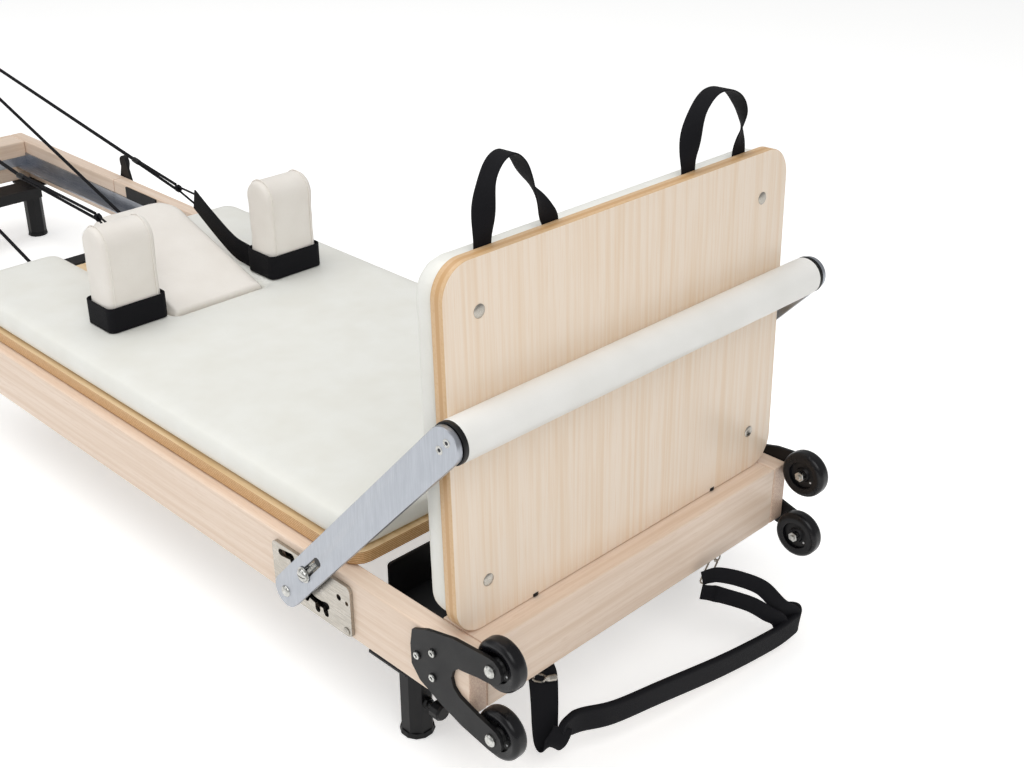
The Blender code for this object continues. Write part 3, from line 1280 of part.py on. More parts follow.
def build_footbar():
    """The steel bar with a boss at each end, and the cream sleeve with its end caps."""
    x, z = arm_point(ARM_REACH)
    boss = ARM_PLANE - SEAT - BOSS_HEIGHT
    half = [(boss, BAR_TUBE_RADIUS), (boss, BOSS_RADIUS), (ARM_PLANE - SEAT, BOSS_RADIUS)]
    profile = [(-along, radius) for along, radius in reversed(half)] + half
    mesh_part("bar_tube", turned(profile, (x, 0, z), (0, 1, 0), 20), "aluminium", (x, 0, z))
    bore = BAR_TUBE_RADIUS + SEAT
    end = SLEEVE_HALF + CAP_LENGTH
    upper = [(bore, end), (SLEEVE_RADIUS - 0.001, end), (SLEEVE_RADIUS, end - 0.001)]
    screw_part("bar_sleeve", upper + [(radius, -along) for radius, along in reversed(upper)], (x, 0, z), "cream", 24)


def build_bar_bolts():
    """Pivot bolts with spacer, washer and slotted dome, which the arms turn and slide on."""
    base = CATCH_FACE + SEAT
    spacer = ARM_PLANE - SEAT - base
    outer = ARM_PLANE + ARM_THICKNESS + SEAT - base
    washer = outer + 0.0016
    tip = outer + PIVOT_DOME_HEIGHT
    profile = [(0.0, PIVOT_COLLAR_RADIUS), (spacer, PIVOT_COLLAR_RADIUS), (spacer, PIVOT_PIN_RADIUS),
               (outer, PIVOT_PIN_RADIUS), (outer, 1.05 * PIVOT_COLLAR_RADIUS), (washer, 1.05 * PIVOT_COLLAR_RADIUS),
               (washer, 0.86 * PIVOT_COLLAR_RADIUS), (tip - 0.0018, 0.80 * PIVOT_COLLAR_RADIUS),
               (tip, 0.55 * PIVOT_COLLAR_RADIUS)]
    for side, sign in SIDES.items():
        start = (PIVOT[0], sign * base, PIVOT[1])
        bolt = mesh_part(side + "_bar_bolt", turned(profile, start, (0, sign, 0), 14), "zinc", start)
        cutter = side_box((PIVOT[0] - 2 * PIVOT_PIN_RADIUS, PIVOT[0] + 2 * PIVOT_PIN_RADIUS),
                          (base + tip - 0.0016, base + tip + 0.002), (PIVOT[1] - 0.0009, PIVOT[1] + 0.0009), sign)
        boolean(bolt, mesh_part(side + "_bolt_slot", cutter, "zinc"))


def catch_slot():
    """Outline of the channel round the pivot that the catch pins follow, with its notches."""
    half = CATCH_PIN_RADIUS + CATCH_PIN_CLEARANCE
    middle = ARM_TAIL - LIFT_TRAVEL
    inner, outer = middle - half, middle + half
    aside = math.degrees(math.asin(half / outer))
    first, last = CATCH_CHANNEL_START, CATCH_CHANNEL_END
    points = arc(arm_point(middle, first), half, first - 180, first - 90, 3)
    points += arc(arm_point(CATCH_LONG_NOTCH, first), half, first - 90, first + 90, 4)
    angle = first + aside
    for notch in CATCH_ANGLES:
        points += arc(PIVOT, outer, angle, notch - aside, 2)
        points += arc(arm_point(ARM_TAIL, notch), half, notch - 90, notch + 90, 4)
        angle = notch + aside
    points += arc(PIVOT, outer, angle, last, 2)[:-1]
    points += arc(arm_point(middle, last), half, last, last + 180, 4)
    points += arc(PIVOT, inner, last, first, 10)[1:-1]
    return points


def build_catch_plates():
    """Stainless plates on the side rails, with the catch slot, two round holes and two screws."""
    x1 = FOOT_FACE - CATCH_START
    low = CATCH_TOP - CATCH_HEIGHT
    screws = [(x1 - 0.0106, low + 0.0074), (x1 - CATCH_LENGTH + 0.0075, low + 0.0074)]
    outlines = [rectangle(x1 - CATCH_LENGTH, low, x1, CATCH_TOP, CATCH_CORNER, 4), catch_slot(),
                circle((x1 - 0.0237, CATCH_TOP - 0.0245), 0.0048, 10),
                circle((x1 - 0.0073, CATCH_TOP - 0.0266), 0.0035, 8)]
    for side, sign in SIDES.items():
        pieces = [plate(outlines, CATCH_THICKNESS, facing_y(sign * (CATCH_FACE - CATCH_THICKNESS / 2)))]
        pieces += [screw_head(x, sign * CATCH_FACE, z, (0, sign, 0)) for x, z in screws]
        joined_part(side + "_catch_plate", pieces, "stainless")


# Jump board


def jump_point(depth, y, height):
    """A point behind the jump board's front face, measured square to it and along it."""
    tilt = math.radians(JUMP_TILT)
    foot = RAIL_TOP + SEAT + JUMP_PLY * math.sin(tilt)
    return Vector((FOOT_FACE - JUMP_SETBACK - height * math.sin(tilt) - depth * math.cos(tilt), y,
                   foot + height * math.cos(tilt) - depth * math.sin(tilt)))


def jump_place(depth):
    """Stands an outline (across, height) on the jump board, its thickness growing backwards."""
    origin = jump_point(depth, 0, 0)
    upward = jump_point(depth, 0, 1) - origin
    backward = jump_point(depth + 1, 0, 0) - origin
    place = Matrix((Vector((0, 1, 0)), upward, backward)).transposed().to_4x4()
    place.translation = origin
    return place


def build_jump_board():
    """The board with its dome bolts and pegs, and its pad."""
    half = JUMP_HALF
    origin = jump_point(0, 0, 0)
    forward = jump_point(0, 0, 0) - jump_point(1, 0, 0)
    upward = jump_point(0, 0, 1) - jump_point(0, 0, 0)
    dome = [(-OVERLAP, DOME_RADIUS), (0.35 * DOME_HEIGHT, 0.92 * DOME_RADIUS), (0.75 * DOME_HEIGHT, 0.62 * DOME_RADIUS),
            (DOME_HEIGHT, 0.25 * DOME_RADIUS)]
    peg = [(-PEG_DEPTH, 0.7 * PEG_RADIUS), (0.002 - PEG_DEPTH, PEG_RADIUS), (SEAT, PEG_RADIUS),
           (SEAT, PEG_COLLAR_RADIUS), (PEG_COLLAR_HEIGHT, PEG_COLLAR_RADIUS)]
    outline = rectangle(-half, 0, half, JUMP_HEIGHT, JUMP_CORNER, 4)
    pieces = [plate([outline], JUMP_PLY, jump_place(JUMP_PLY / 2))]
    for sign in SIDES.values():
        pieces += [turned(dome, jump_point(0, sign * BOLT_SPREAD, height), forward, 10)
                   for height in (BOLT_LOW, BOLT_HIGH)]
        pieces.append(turned(peg, jump_point(PEG_SETBACK, sign * PEG_SPREAD, 0), upward, 10))
    joined_part("jump_board_ply", pieces, "laminate", origin)
    outline = rectangle(-half + JUMP_PAD_INSET, JUMP_PAD_INSET, half - JUMP_PAD_INSET,
                        JUMP_HEIGHT - JUMP_PAD_INSET, JUMP_CORNER, 4)
    pad = cushion(outline, pad_levels(JUMP_PAD, JUMP_PAD_EDGE), jump_place(JUMP_PLY + GRAB_THICKNESS + 2 * SEAT))
    mesh_part("jump_board_pad", pad, "cream", origin)


def grab_loop(route, centre):
    """One loop: flat between board and pad, edge-on where it arches over the top."""
    depth = JUMP_PLY + SEAT + GRAB_THICKNESS / 2
    forward = jump_point(0, 0, 0) - jump_point(1, 0, 0)
    feet = [(route[0][0], -GRAB_FOOT)] + list(route) + [(route[-1][0], -GRAB_FOOT)]
    flat = smooth_path([(y, height, 0.0) for y, height in feet], 2)
    peak = max(range(len(flat)), key=lambda index: flat[index].y)
    path, across = [], []
    for index, point in enumerate(flat):
        path.append(jump_point(depth, centre + point.x, JUMP_HEIGHT + point.y))
        share = min(1.0, max(0.0, point.y / GRAB_TWIST_HEIGHT))
        turn = math.radians(90) * (1 - share * share * (3 - 2 * share))
        turn = turn if index < peak else -turn
        across.append((forward * math.cos(turn) + Vector((0, math.sin(turn), 0))) * GRAB_WIDTH)
    return strip_body(path, across, GRAB_THICKNESS)


def build_grab_loops():
    """Two webbing loops and the band between board and pad that they are sewn to."""
    reach = GRAB_SPREAD + 2.5 * GRAB_WIDTH
    band = plate([rectangle(-reach, JUMP_HEIGHT - 2 * GRAB_WIDTH, reach, JUMP_HEIGHT - GRAB_FOOT / 2, 0.004, 2)],
                 0.8 * GRAB_THICKNESS, jump_place(JUMP_PLY + SEAT + GRAB_THICKNESS / 2))
    pieces = [band, grab_loop(NEAR_GRAB, -GRAB_SPREAD), grab_loop(FAR_GRAB, GRAB_SPREAD)]
    joined_part("grab_loops", pieces, "webbing")


# Foot strap


def strap_point(ahead, y, drop):
    """A point before the foot face and under the rails' top."""
    return Vector((FOOT_FACE + ahead, y, RAIL_TOP - drop))


def build_strap_hooks():
    """An eye under the end rail on each side with a long link, and the near snap's barrel."""
    x = FOOT_FACE - EYE_SETBACK
    top = RAIL_BOTTOM - SEAT
    for side, (y, link_end) in (("near", NEAR_EYE), ("far", FAR_EYE)):
        centre = Vector((x, y, top - EYE_SHANK - EYE_RADIUS))
        turns = [2 * math.pi * step / 10 for step in range(10)]
        ring = [centre + Vector((0, math.cos(turn), math.sin(turn))) * EYE_RADIUS for turn in turns]
        end = strap_point(*link_end)
        bearing = centre + Vector((0, math.copysign(EYE_RADIUS, end.y - y), 0))
        toward = (end - bearing).normalized()
        across = (Vector((1, 0, 0)) - toward * toward.x).normalized()
        link = []
        for base, offset in ((bearing + toward * (LINK_HALF - EYE_WIRE), math.pi / 2),
                             (end - toward * LINK_HALF, -math.pi / 2)):
            for step in range(5):
                turn = offset + math.pi * step / 4
                link.append(base + (toward * math.cos(turn) + across * math.sin(turn)) * LINK_HALF)
        pieces = [rod((x, y, top - EYE_SHANK - OVERLAP), (x, y, top), 1.6 * EYE_WIRE, 12),
                  tube(ring, EYE_WIRE, 1, True), tube(link, EYE_WIRE, 1, True)]
        if side == "near":
            barrel = [(-OVERLAP, 0.5 * BARREL_RADIUS), (0.2 * BARREL_LENGTH, BARREL_RADIUS),
                      (0.85 * BARREL_LENGTH, BARREL_RADIUS), (BARREL_LENGTH, 0.5 * BARREL_RADIUS)]
            pieces.append(turned(barrel, end, strap_point(*BARREL_END) - end, 12))
        joined_part(side + "_strap_hook", pieces, "stainless", smooth_angle=45.0)


def build_foot_strap():
    """The padded band with the webbing at both its ends."""
    path = smooth_path([strap_point(*point) for point in FOOT_BAND], 2)
    upright = Vector((0.10, 0, 0.995)) * BAND_WIDTH
    pieces = [strip_body(path, [upright * min(1.0, 0.2 + 0.2 * index) for index in range(len(path))],
                         BAND_THICKNESS)]
    path = smooth_path([strap_point(*point) for point in NEAR_WEBBING], 2)
    spread = Vector((0.6, 0.8, 0)) * (1.05 * BAND_WIDTH)
    pieces.append(strip_body(path, [spread] * len(path), WEBBING_THICKNESS))
    start, end = Vector((0.2, 0.3, 0.9)), Vector((0.5, 0.8, 0.2))
    for route in (FAR_UPPER_WEBBING, FAR_LOWER_WEBBING):
        path = smooth_path([strap_point(*point) for point in route], 2)
        last = len(path) - 1
        across = [start.lerp(end, index / last).normalized() * (0.6 * BAND_WIDTH) for index in range(last + 1)]
        pieces.append(strip_body(path, across, WEBBING_THICKNESS))
    joined_part("foot_strap", pieces, "webbing")


def main():
    """Builds the reformer piece by piece."""
    start_scene()
    build_side_rails()
    build_cross_rails()
    build_tracks()
    build_fold_hinge()
    build_foot_legs()
    build_stands()
    build_leg_knobs()
    build_wheel_plates()
    build_wheels()
    build_spring_bar()
    build_carriage_board()
    build_carriage_pad()
    build_roller_axles()
    build_carriage_chassis()
    build_springs()
    build_headrest()
    build_shoulder_rests()
    build_hand_loops()
    build_ropes()
    build_pulleys()
    build_bar_arms()
    build_footbar()
    build_bar_bolts()
    build_catch_plates()
    build_jump_board()
    build_grab_loops()
    build_strap_hooks()
    build_foot_strap()


if __name__ == "__main__":
    main()
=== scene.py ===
"""Finished look of a folding pilates reformer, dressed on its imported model.

Metres, +Z up, +X towards the foot end, near side at -Y. A distance is measured back from
the foot end's face and a height from the rails' top, as in the model's own source.
"""
import logging
import math
from dataclasses import dataclass, field
from enum import Enum
from typing import Any, Callable, Iterable, Sequence

import bmesh
import bpy
from mathutils import Matrix, Vector


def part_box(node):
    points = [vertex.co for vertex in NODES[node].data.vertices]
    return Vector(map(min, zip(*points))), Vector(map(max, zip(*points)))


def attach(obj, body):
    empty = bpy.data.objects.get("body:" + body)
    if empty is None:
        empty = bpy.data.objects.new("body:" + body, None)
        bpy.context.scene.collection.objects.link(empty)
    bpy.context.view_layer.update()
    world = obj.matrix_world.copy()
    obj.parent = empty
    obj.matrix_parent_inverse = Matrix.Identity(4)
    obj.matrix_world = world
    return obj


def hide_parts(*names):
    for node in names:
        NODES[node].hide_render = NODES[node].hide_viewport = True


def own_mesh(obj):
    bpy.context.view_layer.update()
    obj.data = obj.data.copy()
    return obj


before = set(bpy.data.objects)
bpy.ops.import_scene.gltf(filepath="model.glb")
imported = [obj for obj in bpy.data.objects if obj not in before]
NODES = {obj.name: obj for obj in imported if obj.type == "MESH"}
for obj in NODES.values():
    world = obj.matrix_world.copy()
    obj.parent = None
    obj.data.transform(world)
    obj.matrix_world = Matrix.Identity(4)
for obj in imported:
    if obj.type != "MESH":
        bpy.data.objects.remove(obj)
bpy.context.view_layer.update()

LOG = logging.getLogger("reformer")

# Where the model's own parts lie, and the least gap between two of them (SEAT)
FOOT_FACE = 1.1262
RAIL_TOP = 0.235
HALF_WIDTH = 0.325
SEAT = 0.0003
PAD_BOTTOM = 0.2563
PAD_TOP = 0.2995
SIDES = {"near": -1, "far": 1}
LAY = "lay"

# How far the jump board leans back
JUMP_TILT = math.radians(1.75)

# The shoulder rests, which the hand loops lie round
REST_FACE = 0.977
REST_DEPTH = 0.072
REST_INNER = 0.112
REST_WIDTH = 0.104

Outline = list[tuple[float, float]]


def at(distance: float, across: float, height: float) -> Vector:
    """A point this far back from the foot face and this high over the rails' top."""
    return Vector((FOOT_FACE - distance, across, RAIL_TOP + height))


def linear(code: str) -> tuple[float, float, float, float]:
    """Turns an sRGB hex colour to linear.

    Args:
        code: the colour as "#RRGGBB".

    Returns:
        Red, green, blue and alpha as Blender's sockets take them.
    """
    parts = [int(code[index:index + 2], 16) / 255 for index in (1, 3, 5)]
    red, green, blue = (c / 12.92 if c <= 0.04045 else ((c + 0.055) / 1.055) ** 2.4 for c in parts)
    return red, green, blue, 1.0


def add_node(tree: bpy.types.NodeTree, kind: str, inputs: dict[Any, Any] | None = None,
             **settings: Any) -> bpy.types.Node:
    """Adds a node with its settings and links.

    Args:
        tree: the node tree.
        kind: the node's type.
        inputs: input name or index to a value, or to the socket it is linked from.
        settings: the node's own properties.

    Returns:
        The new node.
    """
    node = tree.nodes.new(kind)
    for name, value in settings.items():
        setattr(node, name, value)
    for key, value in (inputs or {}).items():
        if isinstance(value, bpy.types.NodeSocket):
            tree.links.new(value, node.inputs[key])
        else:
            node.inputs[key].default_value = value
    return node


class Axis(Enum):
    """The direction that a grain or a brushed line runs in."""

    X = 0
    Y = 1
    Z = 2


@dataclass(frozen=True)
class Finish:
    """What every finish has: a name, its roughness and its reflection."""

    name: str
    roughness: float = 0.5
    metallic: float = 0.0
    ior: float = 1.5

    def dress(self, tree: bpy.types.NodeTree, shader: bpy.types.Node) -> None:
        """Adds the finish's own nodes. Overridden by each finish."""

    def material(self) -> bpy.types.Material:
        """The finish's material, made once.

        Returns:
            The material under the finish's name.
        """
        known = bpy.data.materials.get(self.name)
        if known:
            return known
        made = bpy.data.materials.new(self.name)
        made.use_nodes = True
        shader = made.node_tree.nodes["Principled BSDF"]
        shader.inputs["Roughness"].default_value = self.roughness
        shader.inputs["Metallic"].default_value = self.metallic
        shader.inputs["IOR"].default_value = self.ior
        self.dress(made.node_tree, shader)
        return made

    def stretched(self, tree: bpy.types.NodeTree, place: bpy.types.NodeSocket, size: Sequence[float],
                  detail: float = 2.0) -> bpy.types.NodeSocket:
        """Noise whose spots have a real size along each axis.

        Args:
            tree: the node tree.
            place: coordinates in metres.
            size: a spot's length along X, Y and Z in metres.
            detail: the noise's octaves.

        Returns:
            The noise's factor.
        """
        scaled = add_node(tree, "ShaderNodeMapping", {"Vector": place, "Scale": [1 / length for length in size]})
        return add_node(tree, "ShaderNodeTexNoise", {"Vector": scaled.outputs[0], "Scale": 1.0, "Detail": detail,
                                                     "Roughness": 0.55}).outputs[0]

    def blended(self, tree: bpy.types.NodeTree, factor: bpy.types.NodeSocket, low: float, high: float,
                first: Any, second: Any) -> bpy.types.NodeSocket:
        """Mixes two colours by a factor that is spread between low and high.

        Args:
            tree: the node tree.
            factor: the driving value.
            low: the value that gives the first colour.
            high: the value that gives the second colour.
            first: a colour or a socket.
            second: a colour or a socket.

        Returns:
            The mixed colour.
        """
        spread = add_node(tree, "ShaderNodeMapRange", {"Value": factor, "From Min": low, "From Max": high})
        return add_node(tree, "ShaderNodeMix", {0: spread.outputs[0], 6: first, 7: second},
                        data_type="RGBA").outputs[2]

    def surfaced(self, tree: bpy.types.NodeTree, shader: bpy.types.Node, colour: bpy.types.NodeSocket,
                 height: bpy.types.NodeSocket, depth: float, strength: float,
                 wear: bpy.types.NodeSocket | None = None, spread: float = 0.0) -> None:
        """Gives the shader its colour, its raised pattern and the wander of its roughness.

        Args:
            tree: the node tree.
            shader: the surface's shader.
            colour: the finished colour.
            height: the raised pattern from 0 to 1.
            depth: its depth in metres.
            strength: how much of it shows.
            wear: the roughness's pattern from 0 to 1, or None for an even roughness.
            spread: how far the roughness goes each way.
        """
        raised = add_node(tree, "ShaderNodeBump", {"Height": height, "Distance": depth, "Strength": strength})
        sockets = {"Base Color": colour, "Normal": raised.outputs[0]}
        if wear is not None:
            worn = add_node(tree, "ShaderNodeMapRange", {"Value": wear, "From Min": 0.3, "From Max": 0.7,
                                                         "To Min": self.roughness - spread,
                                                         "To Max": self.roughness + spread})
            sockets["Roughness"] = worn.outputs[0]
        for name, socket in sockets.items():
            tree.links.new(socket, shader.inputs[name])


@dataclass(frozen=True)
class LacqueredMaple(Finish):
    """Planed hard maple under a satin lacquer: pale, with long soft growth lines and fine pores."""

    light: str = "#F2DDCA"
    dark: str = "#E6CDB6"
    end: str = "#CFAE9A"
    along: Axis = Axis.X
    growth: float = 0.009
    growth_length: float = 0.420
    pore: float = 0.0011
    pore_length: float = 0.024

    def dress(self, tree: bpy.types.NodeTree, shader: bpy.types.Node) -> None:
        """Growth lines and pores along the grain, and the darker end grain across it.

        Args:
            tree: the material's node tree.
            shader: its surface shader.
        """
        place = add_node(tree, "ShaderNodeTexCoord")
        grown = [self.growth] * 3
        grown[self.along.value] = self.growth_length
        pores = [self.pore] * 3
        pores[self.along.value] = self.pore_length
        lines = self.stretched(tree, place.outputs["Object"], grown, 3.0)
        fine = self.stretched(tree, place.outputs["Object"], pores, 1.0)
        wood = self.blended(tree, lines, 0.38, 0.66, linear(self.light), linear(self.dark))
        flecked = self.blended(tree, fine, 0.58, 0.74, wood, linear(self.dark))
        facing = add_node(tree, "ShaderNodeSeparateXYZ", {0: place.outputs["Normal"]})
        size = add_node(tree, "ShaderNodeMath", {0: facing.outputs[self.along.value]}, operation="ABSOLUTE")
        # Rings show on the cut end, 1.8 mm apart
        rings = add_node(tree, "ShaderNodeTexNoise", {"Vector": place.outputs["Object"], "Scale": 1 / 0.0018,
                                                      "Detail": 2.0})
        cut = self.blended(tree, rings.outputs[0], 0.35, 0.65, linear(self.end), linear(self.dark))
        both = self.blended(tree, size.outputs[0], 0.80, 0.90, flecked, cut)
        self.surfaced(tree, shader, both, fine, 0.00006, 0.5, lines, 0.05)


@dataclass(frozen=True)
class PlyBoard(Finish):
    """Birch plywood: veneered faces with a long grain, and its glued layers on the cut edge."""

    face: str = "#F5E2CF"
    figure: str = "#EDD6BF"
    layer: str = "#E3BF91"
    cross_layer: str = "#BC8B55"
    across: Axis = Axis.Z
    along: Axis = Axis.X
    tilt: float = 0.0
    ply: float = 0.0014
    line: float = 0.011
    wander: float = 0.060

    def dress(self, tree: bpy.types.NodeTree, shader: bpy.types.Node) -> None:
        """Long figures on the faces and 1.4 mm layers on the edge, told apart by the face's direction.

        Args:
            tree: the material's node tree.
            shader: its surface shader.
        """
        place = add_node(tree, "ShaderNodeTexCoord")
        turned = add_node(tree, "ShaderNodeMapping", {"Vector": place.outputs["Object"],
                                                      "Rotation": (0.0, self.tilt, 0.0)})
        size = [self.line] * 3
        size[self.along.value] = 0.500
        fibre = [0.0012] * 3
        fibre[self.along.value] = 0.060
        # Veneer is peeled, so its figure is broad arches: noise bends the long lines
        bend = add_node(tree, "ShaderNodeTexNoise", {"Vector": turned.outputs[0], "Scale": 2.0, "Detail": 0.0})
        bent = add_node(tree, "ShaderNodeVectorMath", {0: bend.outputs[1], 1: (self.wander,) * 3},
                        operation="MULTIPLY")
        moved = add_node(tree, "ShaderNodeVectorMath", {0: turned.outputs[0], 1: bent.outputs[0]})
        figure = self.stretched(tree, moved.outputs[0], size, 2.0)
        fibres = self.stretched(tree, turned.outputs[0], fibre, 1.0)
        veneer = self.blended(tree, figure, 0.42, 0.68, linear(self.face), linear(self.figure))
        veneer = self.blended(tree, fibres, 0.56, 0.78, veneer, linear(self.figure))
        depth = add_node(tree, "ShaderNodeSeparateXYZ", {0: turned.outputs[0]})
        phase = add_node(tree, "ShaderNodeMath", {0: depth.outputs[self.across.value], 1: math.pi / self.ply},
                         operation="MULTIPLY")
        stripe = add_node(tree, "ShaderNodeMath", {0: phase.outputs[0]}, operation="SINE")
        layers = self.blended(tree, stripe.outputs[0], -0.25, 0.25, linear(self.layer), linear(self.cross_layer))
        speckle = self.stretched(tree, place.outputs["Object"], [0.004] * 3, 3.0)
        layers = self.blended(tree, speckle, 0.45, 0.95, layers, linear(self.cross_layer))
        facing = add_node(tree, "ShaderNodeSeparateXYZ", {0: place.outputs["Normal"]})
        amount = add_node(tree, "ShaderNodeMath", {0: facing.outputs[self.across.value]}, operation="ABSOLUTE")
        both = self.blended(tree, amount.outputs[0], 0.70, 0.85, layers, veneer)
        self.surfaced(tree, shader, both, fibres, 0.00005, 0.5, figure, 0.04)


@dataclass(frozen=True)
class LeatherettePadding(Finish):
    """Coated upholstery cloth, embossed like leather: satin, with a pebble grain and faint folds."""

    colour: str = "#EFEFE9"
    shade: str = "#E9E8E0"
    pebble: float = 0.0022

    def dress(self, tree: bpy.types.NodeTree, shader: bpy.types.Node) -> None:
        """Pebbles drawn at 2 mm, coarser than the real half millimetre so that they show.

        Args:
            tree: the material's node tree.
            shader: its surface shader.
        """
        place = add_node(tree, "ShaderNodeTexCoord").outputs["Object"]
        cells = add_node(tree, "ShaderNodeTexVoronoi", {"Vector": place, "Scale": 1 / self.pebble},
                         feature="SMOOTH_F1")
        tone = self.stretched(tree, place, [0.07] * 3, 2.0)
        cloth = self.blended(tree, tone, 0.35, 0.80, linear(self.colour), linear(self.shade))
        cloth = self.blended(tree, cells.outputs[0], 0.55, 1.10, cloth, linear(self.shade))
        self.surfaced(tree, shader, cloth, cells.outputs[0], 0.00012, 0.35, tone, 0.05)


@dataclass(frozen=True)
class BrushedMetal(Finish):
    """Brushed or anodised metal: fine lines one way, which spread the highlight across them."""

    colour: str = "#A9ADB5"
    shade: str = "#9A9EA6"
    lines: tuple[float, float, float] = (0.030, 0.0012, 0.0012)

    def dress(self, tree: bpy.types.NodeTree, shader: bpy.types.Node) -> None:
        """Lines drawn at a millimetre, coarser than real brushing, and a cloudy tone.

        Args:
            tree: the material's node tree.
            shader: its surface shader.
        """
        place = add_node(tree, "ShaderNodeTexCoord").outputs["Object"]
        brushed = self.stretched(tree, place, self.lines, 2.0)
        cloud = self.stretched(tree, place, [0.020] * 3, 3.0)
        tone = self.blended(tree, brushed, 0.35, 0.65, linear(self.colour), linear(self.shade))
        tone = self.blended(tree, cloud, 0.45, 0.85, tone, linear(self.shade))
        self.surfaced(tree, shader, tone, brushed, 0.00003, 0.3, brushed, 0.06)


@dataclass(frozen=True)
class FineGrained(Finish):
    """Powder coat, moulded plastic or rubber: one colour with a fine even grain and light scuffs."""

    colour: str = "#17171A"
    scuff: str = "#26262A"
    grain: float = 0.0012
    depth: float = 0.00005

    def dress(self, tree: bpy.types.NodeTree, shader: bpy.types.Node) -> None:
        """The grain as bump, and soft patches where hands and shoes have rubbed.

        Args:
            tree: the material's node tree.
            shader: its surface shader.
        """
        place = add_node(tree, "ShaderNodeTexCoord").outputs["Object"]
        shader.inputs["Specular IOR Level"].default_value = 0.3
        grain = self.stretched(tree, place, [self.grain] * 3, 2.0)
        rubbed = self.stretched(tree, place, [0.035] * 3, 4.0)
        tone = self.blended(tree, rubbed, 0.50, 0.85, linear(self.colour), linear(self.scuff))
        self.surfaced(tree, shader, tone, grain, self.depth, 0.5, rubbed, 0.05)


@dataclass(frozen=True)
class WovenNylon(Finish):
    """Nylon webbing or braided cord: matt black threads, with a faint sheen painted on their crests where they turn.
    """

    colour: str = "#05050A"
    painted_crest_sheen: str = "#121217"
    along_thread: float = 0.0022
    across_thread: float = 0.0018
    slant: float = 0.0

    def dress(self, tree: bpy.types.NodeTree, shader: bpy.types.Node) -> None:
        """Two crossed waves that follow the piece by its own attribute, drawn twice as coarse as the cloth.

        Args:
            tree: the material's node tree.
            shader: its surface shader.
        """
        shader.inputs["Specular IOR Level"].default_value = 0.2
        lay = add_node(tree, "ShaderNodeAttribute", attribute_name=LAY)
        parts = add_node(tree, "ShaderNodeSeparateXYZ", {0: lay.outputs["Vector"]})
        waves = []
        for first, second in ((self.slant, 1.0), (-self.slant, 1.0) if self.slant else (1.0, 0.0)):
            across = add_node(tree, "ShaderNodeMath", {0: parts.outputs[0],
                                                       1: first * 2 * math.pi / self.across_thread},
                              operation="MULTIPLY")
            phase = add_node(tree, "ShaderNodeMath", {0: parts.outputs[1],
                                                      1: second * 2 * math.pi / self.along_thread,
                                                      2: across.outputs[0]}, operation="MULTIPLY_ADD")
            waves.append(add_node(tree, "ShaderNodeMath", {0: phase.outputs[0]}, operation="SINE").outputs[0])
        crossed = add_node(tree, "ShaderNodeMath", {0: waves[0], 1: waves[1]}, operation="MULTIPLY")
        height = add_node(tree, "ShaderNodeMapRange", {"Value": crossed.outputs[0], "From Min": -1.0})
        # Painted sheen: the weave's raised crests are coloured lighter than its hollows
        tone = self.blended(tree, height.outputs[0], 0.35, 0.95, linear(self.colour), linear(self.painted_crest_sheen))
        self.surfaced(tree, shader, tone, height.outputs[0], 0.0003, 0.8)


MAPLE = LacqueredMaple("lacquered_maple", 0.38)
MAPLE_CROSS = LacqueredMaple("lacquered_maple_across", 0.38, along=Axis.Y)
BIRCH_PLY = PlyBoard("birch_plywood", 0.45, face="#EBCFA6", figure="#DDBD8E", layer="#E6C393")
JUMP_PLY_FINISH = PlyBoard("maple_veneered_plywood", 0.36, face="#F8E7D4", figure="#F2DBC1", layer="#DDBA8F",
                           cross_layer="#CFA472", across=Axis.X, along=Axis.Z, tilt=JUMP_TILT, ply=0.006,
                           line=0.007, wander=0.020)
CREAM = LeatherettePadding("cream_leatherette", 0.42)
WARM_CREAM = LeatherettePadding("warm_cream_leatherette", 0.42, colour="#EFEAE3", shade="#E8E2DA")
BAR_VINYL = LeatherettePadding("white_grip_vinyl", 0.36, colour="#F5F4F0", shade="#EFEEE9", pebble=0.0016)
ANODISED = BrushedMetal("anodised_aluminium", 0.38, 1.0, colour="#AEB2B9", shade="#A7ABB2",
                        lines=(0.0012, 0.0012, 0.030))
TRACK = BrushedMetal("extruded_aluminium", 0.34, 1.0, colour="#B9BCC2")
STAINLESS = BrushedMetal("brushed_stainless_steel", 0.30, 1.0, colour="#BDB8B0", shade="#A8A39A")
ZINC = BrushedMetal("zinc_plated_steel", 0.28, 1.0, colour="#C9C9C6", shade="#AFAFAB",
                    lines=(0.004, 0.004, 0.004))
POWDER_COAT = FineGrained("black_powder_coat", 0.50, colour="#0B0B0D", scuff="#131316")
NYLON = FineGrained("moulded_black_nylon", 0.42, colour="#0D0D0F", scuff="#161619", grain=0.0010)
TYRE_RUBBER = FineGrained("polished_black_rubber", 0.28, colour="#0E0E11", scuff="#1A1A1E", grain=0.0030)
WHITE_MARK = FineGrained("white_paint_dot", 0.40, colour="#F2F2F2", scuff="#E4E4E4")
WEBBING = WovenNylon("woven_nylon_webbing", 0.75)
CORD = WovenNylon("braided_nylon_cord", 0.70, along_thread=0.0060, across_thread=0.0055, slant=1.0)

NODE_FINISHES: dict[Finish, tuple[str, ...]] = {
    MAPLE: ("near_side_rail", "far_side_rail", "near_head_rail", "far_head_rail"),
    MAPLE_CROSS: ("foot_end_rail", "head_end_rail"),
    BIRCH_PLY: ("carriage_board", "headrest_board"),
    TRACK: ("frame_tracks", "head_tracks"),
    STAINLESS: ("near_catch_plate", "far_catch_plate", "near_strap_hook", "far_strap_hook"),
    POWDER_COAT: ("near_frame_leaf", "far_frame_leaf", "near_head_leaf", "far_head_leaf", "near_backing_plate",
                  "far_backing_plate", "near_foot_leg", "far_foot_leg", "middle_stand", "head_stand",
                  "near_wheel_plate", "far_wheel_plate", "spring_bar", "carriage_chassis"),
    NYLON: ("near_leg_knob", "far_leg_knob", "front_roller_axle", "rear_roller_axle"),
}


